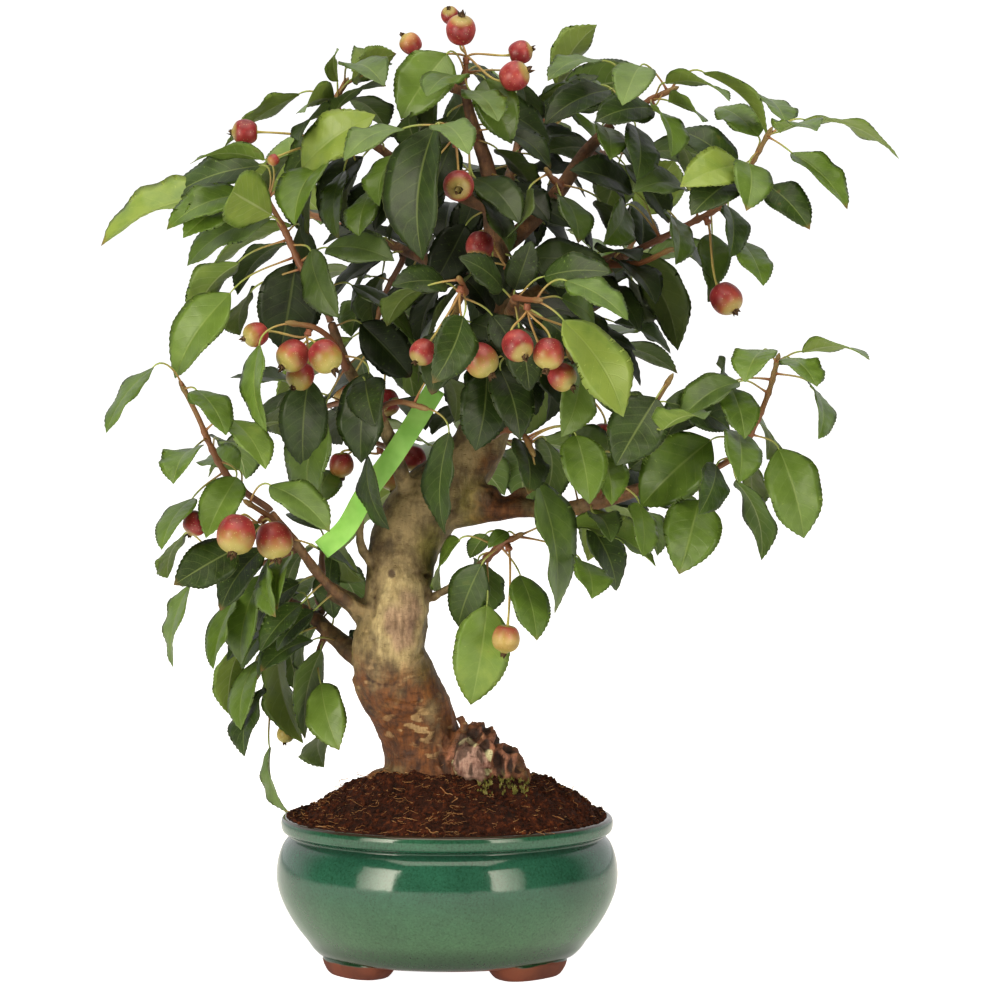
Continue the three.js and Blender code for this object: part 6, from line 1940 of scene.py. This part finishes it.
def dressed_bunch(spray_name, spray):
    """A spur with its stalks and fruit."""
    twig = twigs[spray_name]
    line = twig["line"]
    corners = corners_of(f"fruit_{spray_name}")
    index = math.floor(spray.get("fruit_at", 0.7) * (len(line) - 1) + 0.5)
    at = line[index]
    along = heading_at(line, index)
    if spray.get("fruit_at") == 1:
        normal = along
        base = at + normal * GAP
    else:
        pull = sum((on_elevation(x, y, depth) - at for x, y, depth, *_ in spray["fruit"]), Vector())
        normal = square_to(pull, along)
        base = seat_out(at, normal, KNOB["root"], corners)
    spur = Piece()
    top = base + normal * KNOB["length"]
    line_of_spur = [base, base + normal * 1.1, base + normal * 2.2, top, top + normal * 0.5]
    tube(spur, line_of_spur, SPUR_RADII, 14, 1, start=normal, age=1.0)
    middle = base + normal * 0.7 * KNOB["length"]
    for i, (x, y, depth, size, calyx_x, calyx_y) in enumerate(spray["fruit"]):
        draw = draws_from(7000 + 31 * x + y)
        centre = on_elevation(x, y, depth)
        radius = UNIT * size
        rim = on_elevation(calyx_x, calyx_y, depth) - centre
        towards = math.sqrt(max(0.1, radius * radius - rim.length_squared))
        down = (rim + FRONT * towards * 0.8).normalized()
        red, tan = RIPENESS[RIPE[spray_name][i]]
        pome_mesh(spur, centre, radius, down, red, tan, draw)
        stalk = bezier(middle, middle + normal * 7, centre - down * 1.9 * radius,
                       centre - down * 0.68 * radius, STALK_STEPS)
        radii = [1.15, 0.95] + [0.72 + 0.05 * math.sin(k) for k in range(12)] + [0.78, 0.95, 1.0]
        tube(spur, stalk, radii, 8, 1,
             age=[0.75 - 0.6 * k / STALK_STEPS for k in range(STALK_STEPS + 1)])
    return spur


def fruit_material():
    material, node, place = new_material("crabapple_skin")
    fall, red, tan = (node("Attribute", attribute_name=name, out="Fac")
                      for name in ("fall", "red", "tan"))
    cloud = node("TexNoise", place, Scale=75, Detail=4, Roughness=0.6)
    streak = node("TexNoise", place, Scale=300, Detail=3)
    pores = node("TexVoronoi", place, Scale=520)
    green = node("ValToRGB", cloud, stops=((0.3, "#857a34"), (0.55, "#a69b4d"), (0.75, "#c8bc7c")))
    brown = node("ValToRGB", cloud, stops=((0.3, "#985f2e"), (0.55, "#b27c46"), (0.75, "#cba271")))
    ripe = node("ValToRGB", cloud, stops=((0.3, "#6a171b"), (0.5, "#8d2a2e"), (0.72, "#b25049")))
    over = node("SUBTRACT", node("MULTIPLY_ADD", red, 2.6, -1.1), fall)
    over = node("MULTIPLY_ADD", streak, 0.5, node("MULTIPLY_ADD", cloud, 1.3, over))
    blush = node("MapRange", over, 0.35, 1.55, **SMOOTH)
    neck = node("MapRange", fall, 0.6, 0.95, To_Max=0.7, **SMOOTH)
    pit = node("MapRange", fall, -0.78, -0.9, 0.0, 0.6, **SMOOTH)
    dots = node("MapRange", pores, 0.12, 0.2, 0.35, 0.0)
    skin = node("Mix", tan, green, brown, **BLEND)
    for share, film in ((blush, ripe), (neck, "#a9a25c"), (pit, "#8d9a46"), (dots, "#e0c59a")):
        skin = node("Mix", share, skin, film, **BLEND)
    flesh = node("BsdfPrincipled", Base_Color=skin, Roughness=0.38, IOR=1.46,
                Subsurface_Weight=0.12, Subsurface_Radius=(0.004, 0.002, 0.001), Subsurface_Scale=0.5)
    node("OutputMaterial", flesh)
    return material


stalk_finish = stem_material("fruit_stalk", ((0, "#b5b95e"), (0.45, "#a98a4e"), (1.0, "#8a4f38")), 0.5)
sepal_finish = soil_material("dry_sepal", "#33241a", "#5a4430", "#8a7250")
fruit_finish = fruit_material()
fruit_count = 0
for spray_name, spray in SPRAYS.items():
    if "fruit" in spray:
        bunch = dressed_bunch(spray_name, spray)
        show(f"crabapples_{spray_name}", bunch, "fruit", f"fruit_{spray_name}",
             finishes=[fruit_finish, stalk_finish, sepal_finish])
        fruit_count += len(spray["fruit"])
print("fruit", fruit_count)

# %% [markdown]
# The tag is a soft green plastic strip, bent down along the trunk. It is a plain rectangle in
# section, so it is a band of rings along its own smooth line with a little twist of the plastic.

# %% The plant tag
TAG = {"width": 12.5, "thick": 0.9, "steps": 48}


def tag_piece():
    points_of_tag = [on_elevation(*row) for row in TAG_PATH]
    line = smooth_line(points_of_tag, TAG["steps"])
    piece = Piece()
    rings = []
    for i, at in enumerate(line):
        along = heading_at(line, i)
        across = along.cross(FRONT).normalized()
        out = along.cross(across).normalized()
        half, skin = TAG["width"] / 2, TAG["thick"] / 2
        for a, b in ((-half, -0.6 * skin), (-half, 0.6 * skin), (-half + 0.4, skin), (half - 0.4, skin),
                     (half, 0.6 * skin), (half, -0.6 * skin), (half - 0.4, -skin), (-half + 0.4, -skin)):
            cup = 0.5 * (1 - (a / half) ** 2)
            rings.append(at + across * a + out * (b + cup))
    rings += [line[0], line[-1]]
    piece.put(rings, ring_faces(len(line), 8))
    return piece


def tag_material():
    material, node, place = new_material("green_plastic")
    mottle = node("TexNoise", place, Scale=90, Detail=2)
    green = node("ValToRGB", mottle, stops=((0.35, "#8ed058"), (0.65, "#a6e26e")))
    node("OutputMaterial",
        node("BsdfPrincipled", Base_Color=green, Roughness=0.42, Subsurface_Weight=0.1))
    return material


show("tag_strip", tag_piece(), "tag", "plant_tag", finishes=[tag_material()])
print("tag", TAG["width"], "mm wide")

# %% [markdown]
# The light is a soft studio's: two tall softboxes in front at both sides, whose reflections
# stand on the pot's belly, a large one overhead for the crown, and a white sweep under and
# behind. The lower half of the belly mirrors the white table.

# %% Stage and lights
SOFTBOX_WHITE = "#fff7e4"
ROOM_LIGHT = 0.03
# Glow of the white backdrop to the eye, and what it sends on to the tree from behind.
BACKDROP = {"seen": 1.1, "mirrored": 0.9, "thrown": 0.12}
# Glow of the white sweep to the eye, in reflections, and thrown back on the tree.
SWEEP = {"seen": 1.0, "mirrored": 0.34, "thrown": 0.06}


def softbox(name, place_mm, aim_mm, width, height, power, fades=None):
    """A rectangular area light, placed and aimed in mm from the pot's axis; one side can fade."""
    data = bpy.data.lights.new(name, "AREA")
    data.shape = "RECTANGLE"
    data.color = colour(SOFTBOX_WHITE)[:3]
    data.size = width
    data.size_y = height
    data.energy = power
    if fades:
        data.use_nodes = True
        tree = data.node_tree
        across = add(tree, "SeparateXYZ", add(tree, "NewGeometry", out="Parametric"))
        low, high = (0.3, 1.7) if fades == "left" else (1.7, 0.3)
        glow = add(tree, "MapRange", across, To_Min=low, To_Max=high)
        tree.links.new(glow, tree.nodes["Emission"].inputs["Strength"])
    light = placed(name, data)
    light.location = Vector(place_mm) * MM + POT_AXIS
    line = (Vector(aim_mm) - Vector(place_mm)).normalized()
    light.rotation_euler = line.to_track_quat("-Z", "Y").to_euler()


def plain_floor():
    """A wide pale floor on the table line."""
    data = bpy.data.meshes.new("floor")
    reach = 30.0
    data.from_pydata([(-reach, -reach, 0), (reach, -reach, 0), (reach, reach, 0), (-reach, reach, 0)],
                     [], [(0, 1, 2, 3)])
    material, node, _ = new_material("white_sweep")
    rays = node("LightPath").node.outputs
    back = node("MULTIPLY_ADD", rays["Is Glossy Ray"], SWEEP["mirrored"], SWEEP["thrown"])
    glow = node("MULTIPLY_ADD", rays["Is Camera Ray"], SWEEP["seen"], back)
    node("OutputMaterial", node("BsdfPrincipled", Base_Color="#ffffff", Roughness=0.9,
                                    Emission_Color="#ffffff", Emission_Strength=glow))
    data.materials.append(material)
    floor = placed("floor", data)


plain_floor()
# Each softbox: its place and aim in mm, width and height in m, power in W, and the side that fades.
SOFTBOXES = {"left_softbox": ((-1510, -1310, 640), (0, 0, 250), 0.95, 1.25, 29, "left"),
             "right_softbox": ((1340, -1490, 640), (0, 0, 250), 0.82, 1.25, 16.5, "right"),
             "overhead": ((0, -450, 2200), (0, 0, 200), 2.2, 2.2, 50)}
for softbox_name, softbox_settings in SOFTBOXES.items():
    softbox(softbox_name, *softbox_settings)
print("lights", len(SOFTBOXES))
world = bpy.data.worlds.new("studio")
world.use_nodes = True
sky = world.node_tree
rays = add(sky, "LightPath").node.outputs
depth = add(sky, "SeparateXYZ", add(sky, "TexCoord"), out="Y")
sent = add(sky, "MapRange", rays["Is Glossy Ray"], To_Min=BACKDROP["thrown"],
           To_Max=BACKDROP["mirrored"])
behind = add(sky, "MapRange", depth, 0.1, 0.6, ROOM_LIGHT, sent, **SMOOTH)
strength = add(sky, "MapRange", rays["Is Camera Ray"], To_Min=behind, To_Max=BACKDROP["seen"])
background = sky.nodes["Background"]
background.inputs["Color"].default_value = colour("#ffffff")
sky.links.new(strength, background.inputs["Strength"])
bpy.context.scene.world = world
bpy.context.scene.view_settings.view_transform = "Standard"
